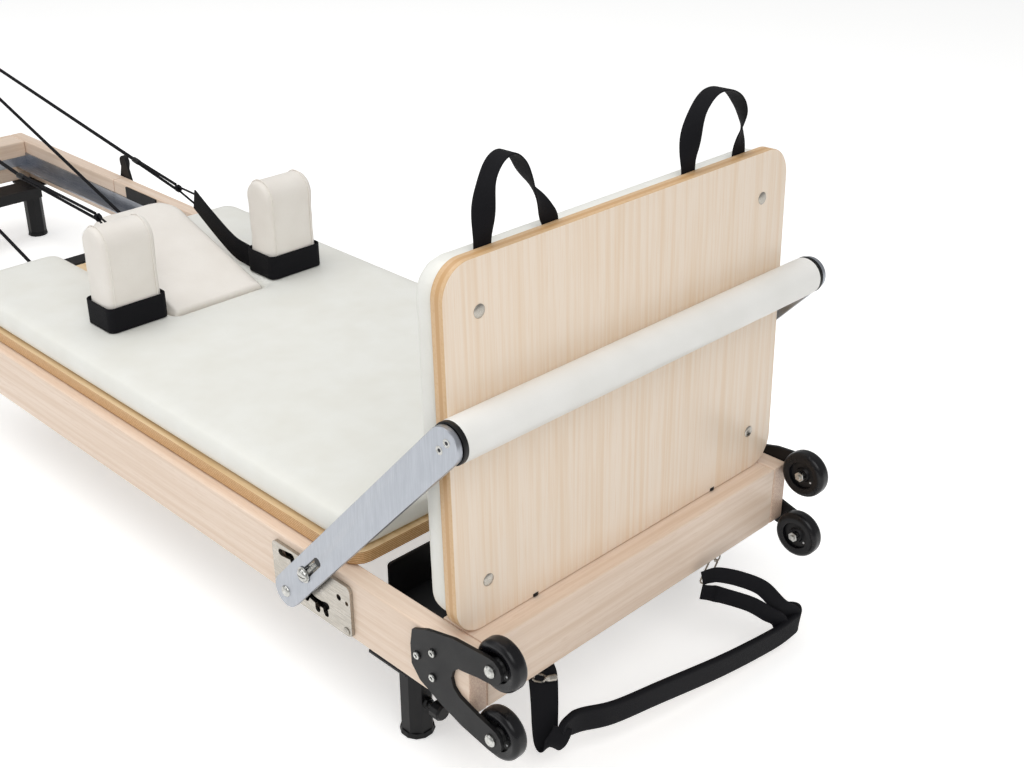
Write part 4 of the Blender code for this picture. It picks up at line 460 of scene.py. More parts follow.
def turned(profile: Sequence[tuple[float, float]], start: Vector, direction: Sequence[float],
           steps: int = 96, ring: bool = False) -> bmesh.types.BMesh:
    """A body spun round an axis.

    Args:
        profile: (distance along the axis, radius) points.
        start: the axis's start.
        direction: the axis's direction.
        steps: faces round it.
        ring: True keeps the bore open, False closes both ends on the axis.

    Returns:
        The spun body.
    """
    axis = Vector(direction).normalized()
    side = axis.orthogonal().normalized()
    points = list(profile) if ring else [(profile[0][0], 0.0), *profile, (profile[-1][0], 0.0)]
    bm = bmesh.new()
    verts = [bm.verts.new(Vector(start) + axis * along + side * radius) for along, radius in points]
    edges = [bm.edges.new(pair) for pair in zip(verts, verts[1:])]
    if ring:
        edges.append(bm.edges.new((verts[-1], verts[0])))
    bmesh.ops.spin(bm, geom=verts + edges, cent=start, axis=axis, angle=2 * math.pi, steps=steps, use_merge=True)
    bmesh.ops.remove_doubles(bm, verts=bm.verts, dist=0.000001)
    return bm


def joined(*pieces: bmesh.types.BMesh) -> bmesh.types.BMesh:
    """Puts several bmeshes in the first one.

    Args:
        pieces: the bmeshes, all but the first are freed.

    Returns:
        The first bmesh.
    """
    for piece in pieces[1:]:
        bmesh.ops.recalc_face_normals(piece, faces=piece.faces)
        mesh = bpy.data.meshes.new("join")
        piece.to_mesh(mesh)
        piece.free()
        pieces[0].from_mesh(mesh)
        bpy.data.meshes.remove(mesh)
    return pieces[0]


def arc(centre: Sequence[float], radius: float, start: float, end: float, steps: int) -> Outline:
    """Points on an arc, angles in degrees, both ends included."""
    angles = [math.radians(start + (end - start) * index / steps) for index in range(steps + 1)]
    return [(centre[0] + radius * math.cos(angle), centre[1] + radius * math.sin(angle)) for angle in angles]


def slot_outline(start: Sequence[float], end: Sequence[float], radius: float, steps: int = 24) -> Outline:
    """The outline of a straight slot with round ends."""
    angle = math.degrees(math.atan2(end[1] - start[1], end[0] - start[0]))
    return arc(start, radius, angle + 90, angle + 270, steps) + arc(end, radius, angle - 90, angle + 90, steps)


def rounded_rectangle(x0: float, y0: float, x1: float, y1: float, radius: float,
                      steps: int = 12) -> Outline:
    """A rounded rectangle's outline.

    Args:
        x0: its left edge.
        y0: its lower edge.
        x1: its right edge.
        y1: its upper edge.
        radius: its corners' radius.
        steps: edges on each corner.

    Returns:
        The outline's points, anticlockwise from the lower right corner.
    """
    return (arc((x1 - radius, y0 + radius), radius, -90, 0, steps)
            + arc((x1 - radius, y1 - radius), radius, 0, 90, steps)
            + arc((x0 + radius, y1 - radius), radius, 90, 180, steps)
            + arc((x0 + radius, y0 + radius), radius, 180, 270, steps))


def plate(outlines: Sequence[Sequence[tuple[float, float]]], thickness: float, place: Matrix,
          round_by: float = 0.0) -> bmesh.types.BMesh:
    """A flat plate filled between closed outlines and pulled to its thickness.

    Args:
        outlines: the outer outline and any holes, in the plate's own plane.
        thickness: how far it goes along the plane's own third axis.
        place: puts the plane in the frame.
        round_by: the edges' rounding.

    Returns:
        The plate.
    """
    bm = bmesh.new()
    for outline in outlines:
        verts = [bm.verts.new((x, y, 0.0)) for x, y in outline]
        for pair in zip(verts, verts[1:] + verts[:1]):
            bm.edges.new(pair)
    bmesh.ops.triangle_fill(bm, use_beauty=True, use_dissolve=True, edges=bm.edges[:])
    grown = bmesh.ops.extrude_face_region(bm, geom=bm.faces[:], use_keep_orig=True)
    moved = [item for item in grown["geom"] if isinstance(item, bmesh.types.BMVert)]
    bmesh.ops.translate(bm, verts=moved, vec=(0.0, 0.0, thickness))
    bmesh.ops.recalc_face_normals(bm, faces=bm.faces)
    if round_by > 0:
        rim = [edge for edge in bm.edges if len(edge.link_faces) == 2 and edge.calc_face_angle(0.0) > 1.2]
        bmesh.ops.bevel(bm, geom=rim, offset=round_by, segments=3, profile=0.5, affect="EDGES", material=-1)
    bmesh.ops.transform(bm, matrix=place, verts=bm.verts)
    return bm


def upright(y: float) -> Matrix:
    """Stands an outline's X and Y up in the frame's X and Z at this y, growing towards -Y."""
    return Matrix.Translation((0, y, 0)) @ Matrix.Rotation(math.radians(90), 4, "X")


def smooth_path(points: Iterable[Sequence[float]], per_leg: int = 6) -> list[Vector]:
    """Points read from a smooth curve through the route's own points.

    Args:
        points: the route.
        per_leg: points read on each leg.

    Returns:
        The smooth path.
    """
    spots = [Vector(point) for point in points]
    path = []
    for leg in range(len(spots) - 1):
        first, second = spots[leg], spots[leg + 1]
        before = spots[leg - 1] if leg > 0 else first * 2 - second
        after = spots[leg + 2] if leg + 2 < len(spots) else second * 2 - first
        for step in range(per_leg):
            t = step / per_leg
            path.append(0.5 * (2 * first + (second - before) * t
                               + (2 * before - 5 * first + 4 * second - after) * t ** 2
                               + (3 * first - before - 3 * second + after) * t ** 3))
    path.append(spots[-1])
    return path


def swept(path: Sequence[Vector], across: Callable[[int], Vector] | None, width: float, thickness: float,
          closed: bool = False, sides: int = 12) -> bmesh.types.BMesh:
    """A strap or a cord: its cross-section pulled along a path by extruding its edge ring.

    Each point keeps its place across and along in the piece's own attribute, for the weave.

    Args:
        path: the centreline.
        across: the strap's wide direction at each point, or None for a round cord.
        width: the section's width.
        thickness: the section's thickness.
        closed: True joins the end to the start.
        sides: points round a cord's section.

    Returns:
        The piece, with its ends capped unless it is closed.
    """
    bm = bmesh.new()
    lay = bm.verts.layers.float_vector.new(LAY)
    section = bmesh.new()
    if across is None:
        bmesh.ops.create_circle(section, segments=sides, radius=width / 2)
    else:
        bmesh.ops.create_grid(section, x_segments=6, y_segments=1, size=0.5)
        bmesh.ops.scale(section, vec=(width, thickness, 1.0), verts=section.verts)
        corners = [vert for vert in section.verts if abs(abs(vert.co.x) - width / 2) < 1e-6]
        bmesh.ops.bevel(section, geom=corners, offset=0.42 * thickness, segments=3, profile=0.5,
                        affect="VERTICES", material=-1)
    rim = [vert for vert in section.verts if vert.is_boundary or not vert.link_faces]
    order = sorted(rim, key=lambda vert: math.atan2(vert.co.y / thickness, vert.co.x / width))
    flat = [vert.co.copy() for vert in order]
    section.free()
    count = len(path)
    run = [0.0]
    for first, second in zip(path, path[1:]):
        run.append(run[-1] + (second - first).length)
    guide = None
    rings = []
    for index, point in enumerate(path):
        before = path[index - 1] if index or closed else point
        after = path[(index + 1) % count] if index + 1 < count or closed else point
        ahead = (after - before).normalized()
        if across is not None:
            wide = across(index)
            stretch = wide.length
        else:
            wide = guide or ahead.orthogonal()
            stretch = 1.0
        wide = (wide - ahead * wide.dot(ahead)).normalized()
        guide = wide
        thick = ahead.cross(wide)
        ring = []
        for spot in flat:
            vert = bm.verts.new(point + wide * (spot.x * stretch) + thick * spot.y)
            around = spot.x if across is not None else math.atan2(spot.y, spot.x) * width / 2
            vert[lay] = (around, run[index], 0.0)
            ring.append(vert)
        rings.append([bm.edges.new(pair) for pair in zip(ring, ring[1:] + ring[:1])])
    for first, second in zip(rings, rings[1:] + (rings[:1] if closed else [])):
        bmesh.ops.bridge_loops(bm, edges=first + second)
    if not closed:
        for ring in (rings[0], rings[-1]):
            bmesh.ops.edgeloop_fill(bm, edges=ring)
    return bm


def coil(start: Vector, direction: Vector, radius: float, wire: float, turns: int, pitch: float,
         steps: int = 14) -> bmesh.types.BMesh:
    """A coil spring spun from a ring of wire.

    Args:
        start: the coil's end on its axis.
        direction: the axis's direction.
        radius: radius to the wire's middle.
        wire: the wire's diameter.
        turns: how many turns.
        pitch: one turn's rise.
        steps: faces in one turn.

    Returns:
        The coil.
    """
    axis = direction.normalized()
    side = axis.orthogonal().normalized()
    bm = bmesh.new()
    facing = Matrix((side, axis, side.cross(axis))).transposed().to_4x4()
    facing.translation = start + side * radius
    bmesh.ops.create_circle(bm, segments=8, radius=wire / 2, matrix=facing, cap_ends=False)
    ring = bm.edges[:]
    bmesh.ops.spin(bm, geom=bm.verts[:] + ring, cent=start, axis=axis, dvec=axis * (pitch / steps),
                   angle=2 * math.pi * turns, steps=steps * turns)
    open_edges = [edge for edge in bm.edges if edge.is_boundary]
    bmesh.ops.holes_fill(bm, edges=open_edges, sides=0)
    return bm


def finish_piece(name: str, bm: bmesh.types.BMesh, finish: Finish, body: str,
                 stands_for: Sequence[str] = (), smooth: float = 35.0) -> bpy.types.Object:
    """Makes a piece from its bmesh, dresses it and joins it to its body.

    Args:
        name: the piece's name.
        bm: its shape, freed here.
        finish: its finish.
        body: the body it moves with.
        stands_for: the nodes it replaces.
        smooth: edges sharper than this many degrees stay sharp.

    Returns:
        The piece.
    """
    bmesh.ops.recalc_face_normals(bm, faces=bm.faces)
    mesh = bpy.data.meshes.new(name)
    bm.to_mesh(mesh)
    bm.free()
    mesh.materials.append(finish.material())
    mesh.shade_smooth()
    mesh.set_sharp_from_angle(angle=math.radians(smooth))
    item = bpy.data.objects.new(name, mesh)
    bpy.context.scene.collection.objects.link(item)
    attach(item, body)
    if stands_for:
        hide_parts(*stands_for)
    LOG.info("%s: %d faces", name, len(mesh.polygons))
    return item


def settle(item: bpy.types.Object) -> None:
    """Applies an object's modifiers to its mesh.

    Args:
        item: the object, which gets a new mesh.
    """
    bpy.context.view_layer.update()
    evaluated = item.evaluated_get(bpy.context.evaluated_depsgraph_get())
    mesh = bpy.data.meshes.new_from_object(evaluated)
    item.modifiers.clear()
    old = item.data
    item.data = mesh
    bpy.data.meshes.remove(old)


@dataclass(frozen=True)
class Swelling:
    """How a pad is blown up by cloth simulation from its base plane."""

    base: Vector
    up: Vector
    voxel: float = 0.005
    slack: float = 0.0015
    rise: float = 0.0024
    held: float = 0.004

    def run(self, item: bpy.types.Object) -> None:
        """Remeshes the pad, swells it under pressure with its base held, and smooths it once.

        Args:
            item: the pad, whose mesh is changed.
        """
        remesh = item.modifiers.new("even", "REMESH")
        remesh.mode = "VOXEL"
        remesh.voxel_size = self.voxel
        settle(item)
        mesh = item.data
        start = [vert.co - vert.normal * self.slack for vert in mesh.vertices]
        for vert, place in zip(mesh.vertices, start):
            vert.co = place
        group = item.vertex_groups.new(name="held")
        low = [index for index, place in enumerate(start)
               if (place - self.base).dot(self.up) < self.held + self.slack]
        group.add(low, 1.0, "REPLACE")
        cloth = item.modifiers.new("cloth", "CLOTH")
        cloth.settings.use_pressure = True
        cloth.settings.uniform_pressure_force = 4.0
        cloth.settings.vertex_group_mass = "held"
        cloth.settings.effector_weights.gravity = 0.0
        cloth.settings.quality = 4
        cloth.point_cache.frame_start, cloth.point_cache.frame_end = 1, 20
        for number in range(1, 21):
            bpy.context.scene.frame_set(number)
        settle(item)
        item.vertex_groups.clear()
        bpy.context.scene.frame_set(1)
        moves = [vert.co - place for vert, place in zip(item.data.vertices, start)]
        longest = max(move.length for move in moves)
        share = min(1.0, self.rise / longest) if longest > 0 else 0.0
        for vert, place, move in zip(item.data.vertices, start, moves):
            vert.co = place + move * share
        finer = item.modifiers.new("finer", "SUBSURF")
        finer.levels = finer.render_levels = 1
        settle(item)
        item.data.shade_smooth()


def cut_out(item: bpy.types.Object, shape: bmesh.types.BMesh) -> None:
    """Cuts a shape out of a piece, such as a post's hole or a bolt's slot.

    Args:
        item: the piece, whose mesh is changed.
        shape: what is taken away, freed here.
    """
    mesh = bpy.data.meshes.new("cutter")
    shape.to_mesh(mesh)
    shape.free()
    tool = bpy.data.objects.new("cutter", mesh)
    bpy.context.scene.collection.objects.link(tool)
    cut = item.modifiers.new("holes", "BOOLEAN")
    cut.operation, cut.solver, cut.object = "DIFFERENCE", "EXACT", tool
    settle(item)
    bpy.data.objects.remove(tool, do_unlink=True)
    bpy.data.meshes.remove(mesh)


def node_copy(node: str) -> bmesh.types.BMesh:
    """A merged copy of a node's mesh.

    Args:
        node: the node's name.

    Returns:
        Its shape as a bmesh.
    """
    bm = bmesh.new()
    bm.from_mesh(NODES[node].data)
    bmesh.ops.remove_doubles(bm, verts=bm.verts, dist=0.00001)
    return bm


def seam(name: str, path: Sequence[Vector], body: str, closed: bool = False,
         radius: float = 0.0011) -> bpy.types.Object:
    """A sewn welt that lies half in the pad's skin.

    Args:
        name: the piece's name.
        path: the seam's line.
        body: the body it moves with.
        closed: True for a seam that runs all round.
        radius: the welt's radius.

    Returns:
        The welt.
    """
    return finish_piece(name, swept(path, None, 2 * radius, 2 * radius, closed, 8), WARM_CREAM, body)


@dataclass
class Wheels:
    """Four transport wheels: a rubber tyre, a sunk dark hub and the ends of its bolt."""

    radius: float = 0.035
    width: float = 0.023
    corner: float = 0.0075
    hub_radius: float = 0.0205
    boss_radius: float = 0.0105
    hub_half: float = 0.0095
    sunk: float = 0.006
    forward: float = 0.042
    rise: float = 0.0048
    drop: float = -0.0989
    middle: float = 0.3102
    plate_face: float = 0.3303
    bore: float = 0.0044
    screws: tuple = ((0.088, -0.043), (0.059, -0.024), (0.060, -0.062))

    def build(self) -> None:
        """Builds the wheels of both sides."""
        half = self.width / 2
        corner = [(half - self.corner + self.corner * math.cos(math.radians(step)),
                   self.radius - self.corner + self.corner * math.sin(math.radians(step)))
                  for step in range(0, 91, 10)]
        tyre = [(self.sunk, self.hub_radius), (half - 0.001, self.hub_radius + 0.0004)] + corner
        tyre = tyre + [(-along, radius) for along, radius in reversed(tyre)]
        hub = [(self.hub_half - 0.0008, self.bore), (self.hub_half, self.bore + 0.0008),
               (self.hub_half, self.boss_radius - 0.0008), (self.hub_half - 0.0008, self.boss_radius),
               (self.sunk + 0.0008, self.boss_radius + 0.0006), (self.sunk, self.boss_radius + 0.0014),
               (self.sunk, self.hub_radius - 0.0003)]
        hub = hub + [(-along, radius) for along, radius in reversed(hub)]
        for side, sign in SIDES.items():
            for level, height in (("upper", self.rise), ("lower", self.drop)):
                body = f"{side}_{level}_wheel"
                centre = Vector((FOOT_FACE + self.forward, sign * self.middle, RAIL_TOP + height))
                finish_piece(body + "_tyre", turned(tyre, centre, (0, 1, 0), 96, True), TYRE_RUBBER, body,
                             (body,))
                finish_piece(body + "_hub", turned(hub, centre, (0, 1, 0), 96, True), NYLON, body)
                dots = [turned([(0.0, 0.0016), (0.0004, 0.0014)],
                               centre + Vector((0.0135, face * (self.sunk - 0.0001), -0.0085)), (0, face, 0), 24)
                        for face in (-1, 1)]
                finish_piece(body + "_dots", joined(*dots), WHITE_MARK, body)
                self.bolt_ends(f"{side}_{level}_bolt_ends", centre, sign)
            face = sign * (self.plate_face + 0.0018)
            head = [(0.0, 0.0052), (0.0012, 0.0050), (0.0018, 0.0042), (0.0018, 0.0026), (0.0008, 0.0022)]
            screws = [turned(head, at(distance, face, height), (0, sign, 0), 48)
                      for distance, height in self.screws]
            finish_piece(side + "_plate_screw_heads", joined(*screws), ZINC, "frame", smooth=30)

    def bolt_ends(self, name: str, centre: Vector, sign: int) -> None:
        """Adds the bolt's domed head on the plate and its nut behind the wheel.

        Args:
            name: the piece's name.
            centre: the wheel's middle.
            sign: -1 on the near side, 1 on the far side.
        """
        head = [(0.0, 0.0083), (0.0016, 0.0083), (0.0030, 0.0073), (0.0042, 0.0052), (0.0047, 0.0025)]
        nut = [(0.0, 0.0078), (0.0061, 0.0078), (0.0066, 0.0070), (0.0066, 0.0044), (0.0086, 0.0040),
               (0.0090, 0.0034)]
        outer = Vector((centre.x, sign * (self.plate_face + 0.0001), centre.z))
        inner = Vector((centre.x, sign * (self.middle - self.hub_half - 0.0006), centre.z))
        nut_body = turned(nut, inner, (0, -sign, 0), 6)
        finish_piece(name, joined(turned(head, outer, (0, sign, 0), 48), nut_body), ZINC, "frame",
                     smooth=30)


@dataclass
class Footbar:
    """The padded bar on two arms, its bolts, screws and slot springs."""

    pivot: Vector = field(default_factory=lambda: at(0.2896, 0.0, -0.0125))
    angle: float = math.radians(47.5)
    reach: float = 0.416
    tail: float = 0.0665
    plane: float = 0.342
    thickness: float = 0.008
    arm_half: float = 0.024
    slot_half: float = 0.0068
    slot_low: float = -0.012
    slot_high: float = 0.046
    base: float = 0.3306
    sleeve_radius: float = 0.0265
    sleeve_half: float = 0.3345
    tube_radius: float = 0.0165

    def point(self, reach: float, side: float = 0.0) -> tuple[float, float]:
        """A point up the arm and to its side, in the X-Z plane.

        Args:
            reach: how far up the arm from its pivot.
            side: how far to the arm's side.

        Returns:
            The point's X and Z.
        """
        along = (math.cos(self.angle), math.sin(self.angle))
        return (self.pivot.x + reach * along[0] - side * along[1],
                self.pivot.z + reach * along[1] + side * along[0])

    def build(self) -> None:
        """Builds the bar and both arms."""
        x, z = self.point(self.reach)
        end = self.sleeve_half
        half = [(end - 0.012, self.sleeve_radius), (end - 0.0015, self.sleeve_radius - 0.0001),
                (end, self.sleeve_radius - 0.0012), (end, self.tube_radius + SEAT)]
        skin = [(-along, radius) for along, radius in reversed(half)] + half
        sleeve = finish_piece("footbar_grip", turned(skin, Vector((x, 0, z)), (0, 1, 0), 96, True), BAR_VINYL,
                              "footbar", ("bar_sleeve",))
        caps = []
        for sign in SIDES.values():
            cap = [(0.0002, self.tube_radius + SEAT), (0.0002, self.sleeve_radius - 0.0006),
                   (0.0010, self.sleeve_radius - 0.0003), (0.0058, self.sleeve_radius - 0.0003),
                   (0.0068, self.sleeve_radius - 0.0013), (0.0068, self.tube_radius + SEAT)]
            caps.append(turned(cap, Vector((x, sign * end, z)), (0, sign, 0), 96, True))
        bar = [(SEAT - self.plane, self.tube_radius), (self.plane - SEAT, self.tube_radius)]
        finish_piece("footbar_end_caps", joined(*caps), NYLON, "footbar")
        finish_piece("footbar_tube", turned(bar, Vector((x, 0, z)), (0, 1, 0), 96), ANODISED, "footbar",
                     ("bar_tube",))
        for side, sign in SIDES.items():
            self.arm(side, sign)

    def arm(self, side: str, sign: int) -> None:
        """Builds one arm with its pin, screws, slot plug, spring and bolt.

        Args:
            side: the side's name.
            sign: -1 on the near side, 1 on the far side.
        """
        outer_face = self.plane + self.thickness
        start = -self.plane if sign < 0 else outer_face
        outlines = [slot_outline(self.point(-self.tail), self.point(self.reach), self.arm_half, 32),
                    slot_outline(self.point(self.slot_low), self.point(self.slot_high), self.slot_half, 16)]
        blank = plate(outlines, self.thickness, upright(start), 0.0007)
        x, z = self.point(-self.tail)
        reach = outer_face - self.base
        pin = [(0.0, 0.0040), (0.0005, 0.0045), (reach, 0.0045), (reach, 0.0085), (reach + 0.0012, 0.0083),
               (reach + 0.0026, 0.0070), (reach + 0.0036, 0.0045)]
        finish_piece(side + "_arm", blank, ANODISED, "footbar", (side + "_bar_arm",))
        finish_piece(side + "_arm_pin", turned(pin, Vector((x, sign * self.base, z)), (0, sign, 0), 64), ZINC,
                     "footbar")
        screws, sockets = [], []
        for step in (-0.009, 0.009):
            x, z = self.point(self.reach + step)
            head = [(-0.0010, 0.0055), (0.0002, 0.0055), (0.0004, 0.0052), (0.0004, 0.0046), (0.0001, 0.0042),
                    (0.0001, 0.0027), (-0.0008, 0.0024)]
            spot = Vector((x, sign * outer_face, z))
            screws.append(turned(head, spot, (0, sign, 0), 48))
            sockets.append(turned([(-0.0006, 0.0025), (0.0002, 0.0025)], spot, (0, sign, 0), 6))
        finish_piece(side + "_arm_screws", joined(*screws), ZINC, "footbar", smooth=30)
        finish_piece(side + "_arm_screw_sockets", joined(*sockets), NYLON, "footbar", smooth=30)
        middle = sign * (self.plane + self.thickness / 2)
        x, z = self.point(self.slot_high)
        plug = turned([(-0.0034, 0.0060), (0.0034, 0.0060)], Vector((x, middle, z)), (0, 1, 0), 48)
        finish_piece(side + "_slot_plug", plug, NYLON, "footbar")
        low, high = self.point(0.0085), self.point(0.0390)
        run = Vector((high[0] - low[0], 0.0, high[1] - low[1]))
        spring = coil(Vector((low[0], middle, low[1])), run, 0.0028, 0.0010, 14, run.length / 14, 12)
        finish_piece(side + "_slot_spring", spring, ZINC, "footbar", smooth=80)
        self.bolt(side, sign)

    def bolt(self, side: str, sign: int) -> None:
        """Builds the slotted pivot bolt with its washer.

        Args:
            side: the side's name.
            sign: -1 on the near side, 1 on the far side.
        """
        first = self.plane - SEAT - self.base
        last = self.plane + self.thickness + SEAT - self.base
        shank = [(0.0, 0.011), (first, 0.011), (first, 0.006), (last, 0.006), (last, 0.0114),
                 (last + 0.0003, 0.0117), (last + 0.0013, 0.0117), (last + 0.0016, 0.0113),
                 (last + 0.0016, 0.0095), (last + 0.0034, 0.0093),
                 (last + 0.0048, 0.0084), (last + 0.0060, 0.0062), (last + 0.0066, 0.0032)]
        start = Vector((self.pivot.x, sign * self.base, self.pivot.z))
        bolt = finish_piece(side + "_pivot_bolt", turned(shank, start, (0, sign, 0), 64), ZINC, "bar_pivot",
                            (side + "_bar_bolt",))
        tool = bmesh.new()
        middle = start + Vector((0, sign * (last + 0.0060), 0))
        place = Matrix.Translation(middle) @ Matrix.Diagonal((0.03, 0.0030, 0.0016, 1))
        bmesh.ops.create_cube(tool, size=1.0, matrix=place)
        cut_out(bolt, tool)


@dataclass
class PocketShadeSheets:
    """Black sheets in the rails' pockets, painted shade that shows through the catch plates' slots."""

    start: float = 0.238
    end: float = 0.3745
    top: float = -0.0154
    low: float = -0.0866

    def build(self) -> None:
        """Builds both black sheets of painted shade."""
        for side, sign in SIDES.items():
            bm = bmesh.new()
            first, second = at(self.end, 0, self.low), at(self.start, 0, self.top)
            middle = Vector(((first.x + second.x) / 2, sign * (HALF_WIDTH - 0.0068), (first.z + second.z) / 2))
            size = (second.x - first.x - 0.0006, 0.0018, second.z - first.z - 0.0006, 1)
            bmesh.ops.create_cube(bm, size=1.0, matrix=Matrix.Translation(middle) @ Matrix.Diagonal(size))
            bmesh.ops.bevel(bm, geom=bm.edges[:], offset=0.0003, segments=1, profile=0.5, affect="EDGES",
                            material=-1)
            # A black sheet stands in for the shade deep in the pocket: painted shade
            finish_piece(side + "_pocket_shade_sheet", bm, NYLON, "frame")


@dataclass
class JumpBoard:
    """The veneered board with its pad, dome bolts, pegs and grab loops."""

    setback: float = 0.0287
    tilt: float = JUMP_TILT
    half: float = 0.316
    height: float = 0.481
    ply: float = 0.020
    corner: float = 0.042
    grab: float = 0.0020
    bolt_spread: float = 0.262
    peg_spread: float = 0.181
    peg_depth: float = 0.0063
    grab_spread: float = 0.180
    grab_width: float = 0.027
    twist_height: float = 0.080
    near_grab: tuple = ((-0.054, 0.0), (-0.052, 0.025), (-0.049, 0.052), (-0.042, 0.077), (-0.029, 0.093),
                        (-0.012, 0.097), (0.003, 0.086), (0.014, 0.067), (0.026, 0.046), (0.039, 0.027),
                        (0.048, 0.012), (0.054, 0.0))
    far_grab: tuple = ((-0.0525, 0.0), (-0.0525, 0.026), (-0.0465, 0.055), (-0.034, 0.078), (-0.0135, 0.093),
                       (0.012, 0.094), (0.037, 0.082), (0.053, 0.060), (0.056, 0.036), (0.0545, 0.018), (0.0525, 0.0))

    def point(self, depth: float, y: float, height: float) -> Vector:
        """A point behind the board's front face, measured square to it and along it.

        Args:
            depth: how far behind the front face.
            y: how far across.
            height: how far up the board from its foot.

        Returns:
            The point in the frame.
        """
        foot = RAIL_TOP + SEAT + self.ply * math.sin(self.tilt)
        return Vector((FOOT_FACE - self.setback - height * math.sin(self.tilt) - depth * math.cos(self.tilt), y,
                       foot + height * math.cos(self.tilt) - depth * math.sin(self.tilt)))

    def place(self, depth: float) -> Matrix:
        """Stands an outline (across, height) on the board, growing backwards.

        Args:
            depth: how far behind the front face the outline lies.

        Returns:
            The outline's place.
        """
        origin = self.point(depth, 0, 0)
        turn = Matrix((Vector((0, 1, 0)), self.point(depth, 0, 1) - origin, self.point(depth + 1, 0, 0) - origin))
        turn = turn.transposed().to_4x4()
        turn.translation = origin
        return turn

    def build(self) -> None:
        """Builds the board and what is fixed to it."""
        outline = rounded_rectangle(-self.half, 0, self.half, self.height, self.corner, 24)
        body = "jump_board"
        finish_piece("jump_board_plywood", plate([outline], self.ply, self.place(0), 0.0016), JUMP_PLY_FINISH,
                     body, ("jump_board_ply",))
        forward = self.point(0, 0, 0) - self.point(1, 0, 0)
        up = self.point(0, 0, 1) - self.point(0, 0, 0)
        dome = [(0.0, 0.0085), (0.0004, 0.0085), (0.0010, 0.0077), (0.0016, 0.0057), (0.0020, 0.0034),
                (0.0022, 0.0012)]
        peg = [(-0.040, 0.0035), (-0.038, 0.0050), (0.0003, 0.0050), (0.0003, 0.0076), (0.0007, 0.0080),
               (0.0041, 0.0080), (0.0045, 0.0076)]
        domes = [turned(dome, self.point(-0.0001, sign * self.bolt_spread, height), forward, 48)
                 for sign in SIDES.values() for height in (0.064, 0.417)]
        finish_piece("jump_board_domes", joined(*domes), STAINLESS, body)
        pegs = [turned(peg, self.point(self.peg_depth, sign * self.peg_spread, 0.0), up, 48)
                for sign in SIDES.values()]
        finish_piece("jump_board_pegs", joined(*pegs), NYLON, body, smooth=30)
        pad = finish_piece("jump_board_cushion", node_copy("jump_board_pad"), CREAM, body,
                           ("jump_board_pad",))
        base = self.point(self.ply + self.grab + 2 * SEAT, 0, 0)
        Swelling(base, -forward, 0.0065, 0.0012, 0.0026).run(pad)
        self.grab_loops()

    def grab_loops(self) -> None:
        """Builds the two webbing loops, sewn between board and pad."""
        depth = self.ply + SEAT + self.grab / 2
        forward = (self.point(0, 0, 0) - self.point(1, 0, 0)).normalized()
        pieces = []
        for route, centre in ((self.near_grab, -self.grab_spread), (self.far_grab, self.grab_spread)):
            feet = [(route[0][0], -0.020), *route, (route[-1][0], -0.020)]
            flat = smooth_path([(y, height, 0.0) for y, height in feet], 6)
            peak = max(range(len(flat)), key=lambda index: flat[index].y)
            path = [self.point(depth, centre + spot.x, self.height + spot.y) for spot in flat]
            sides = []
            for index, spot in enumerate(flat):
                share = min(1.0, max(0.0, spot.y / self.twist_height))
                turn = math.radians(90) * (1 - share * share * (3 - 2 * share))
                turn = turn if index < peak else -turn
                sides.append(forward * math.cos(turn) + Vector((0, math.sin(turn), 0)))
            pieces.append(swept(path, sides.__getitem__, self.grab_width, self.grab))
        finish_piece("webbing_grab_loops", joined(*pieces), WEBBING, "jump_board", ("grab_loops",),
                     60)


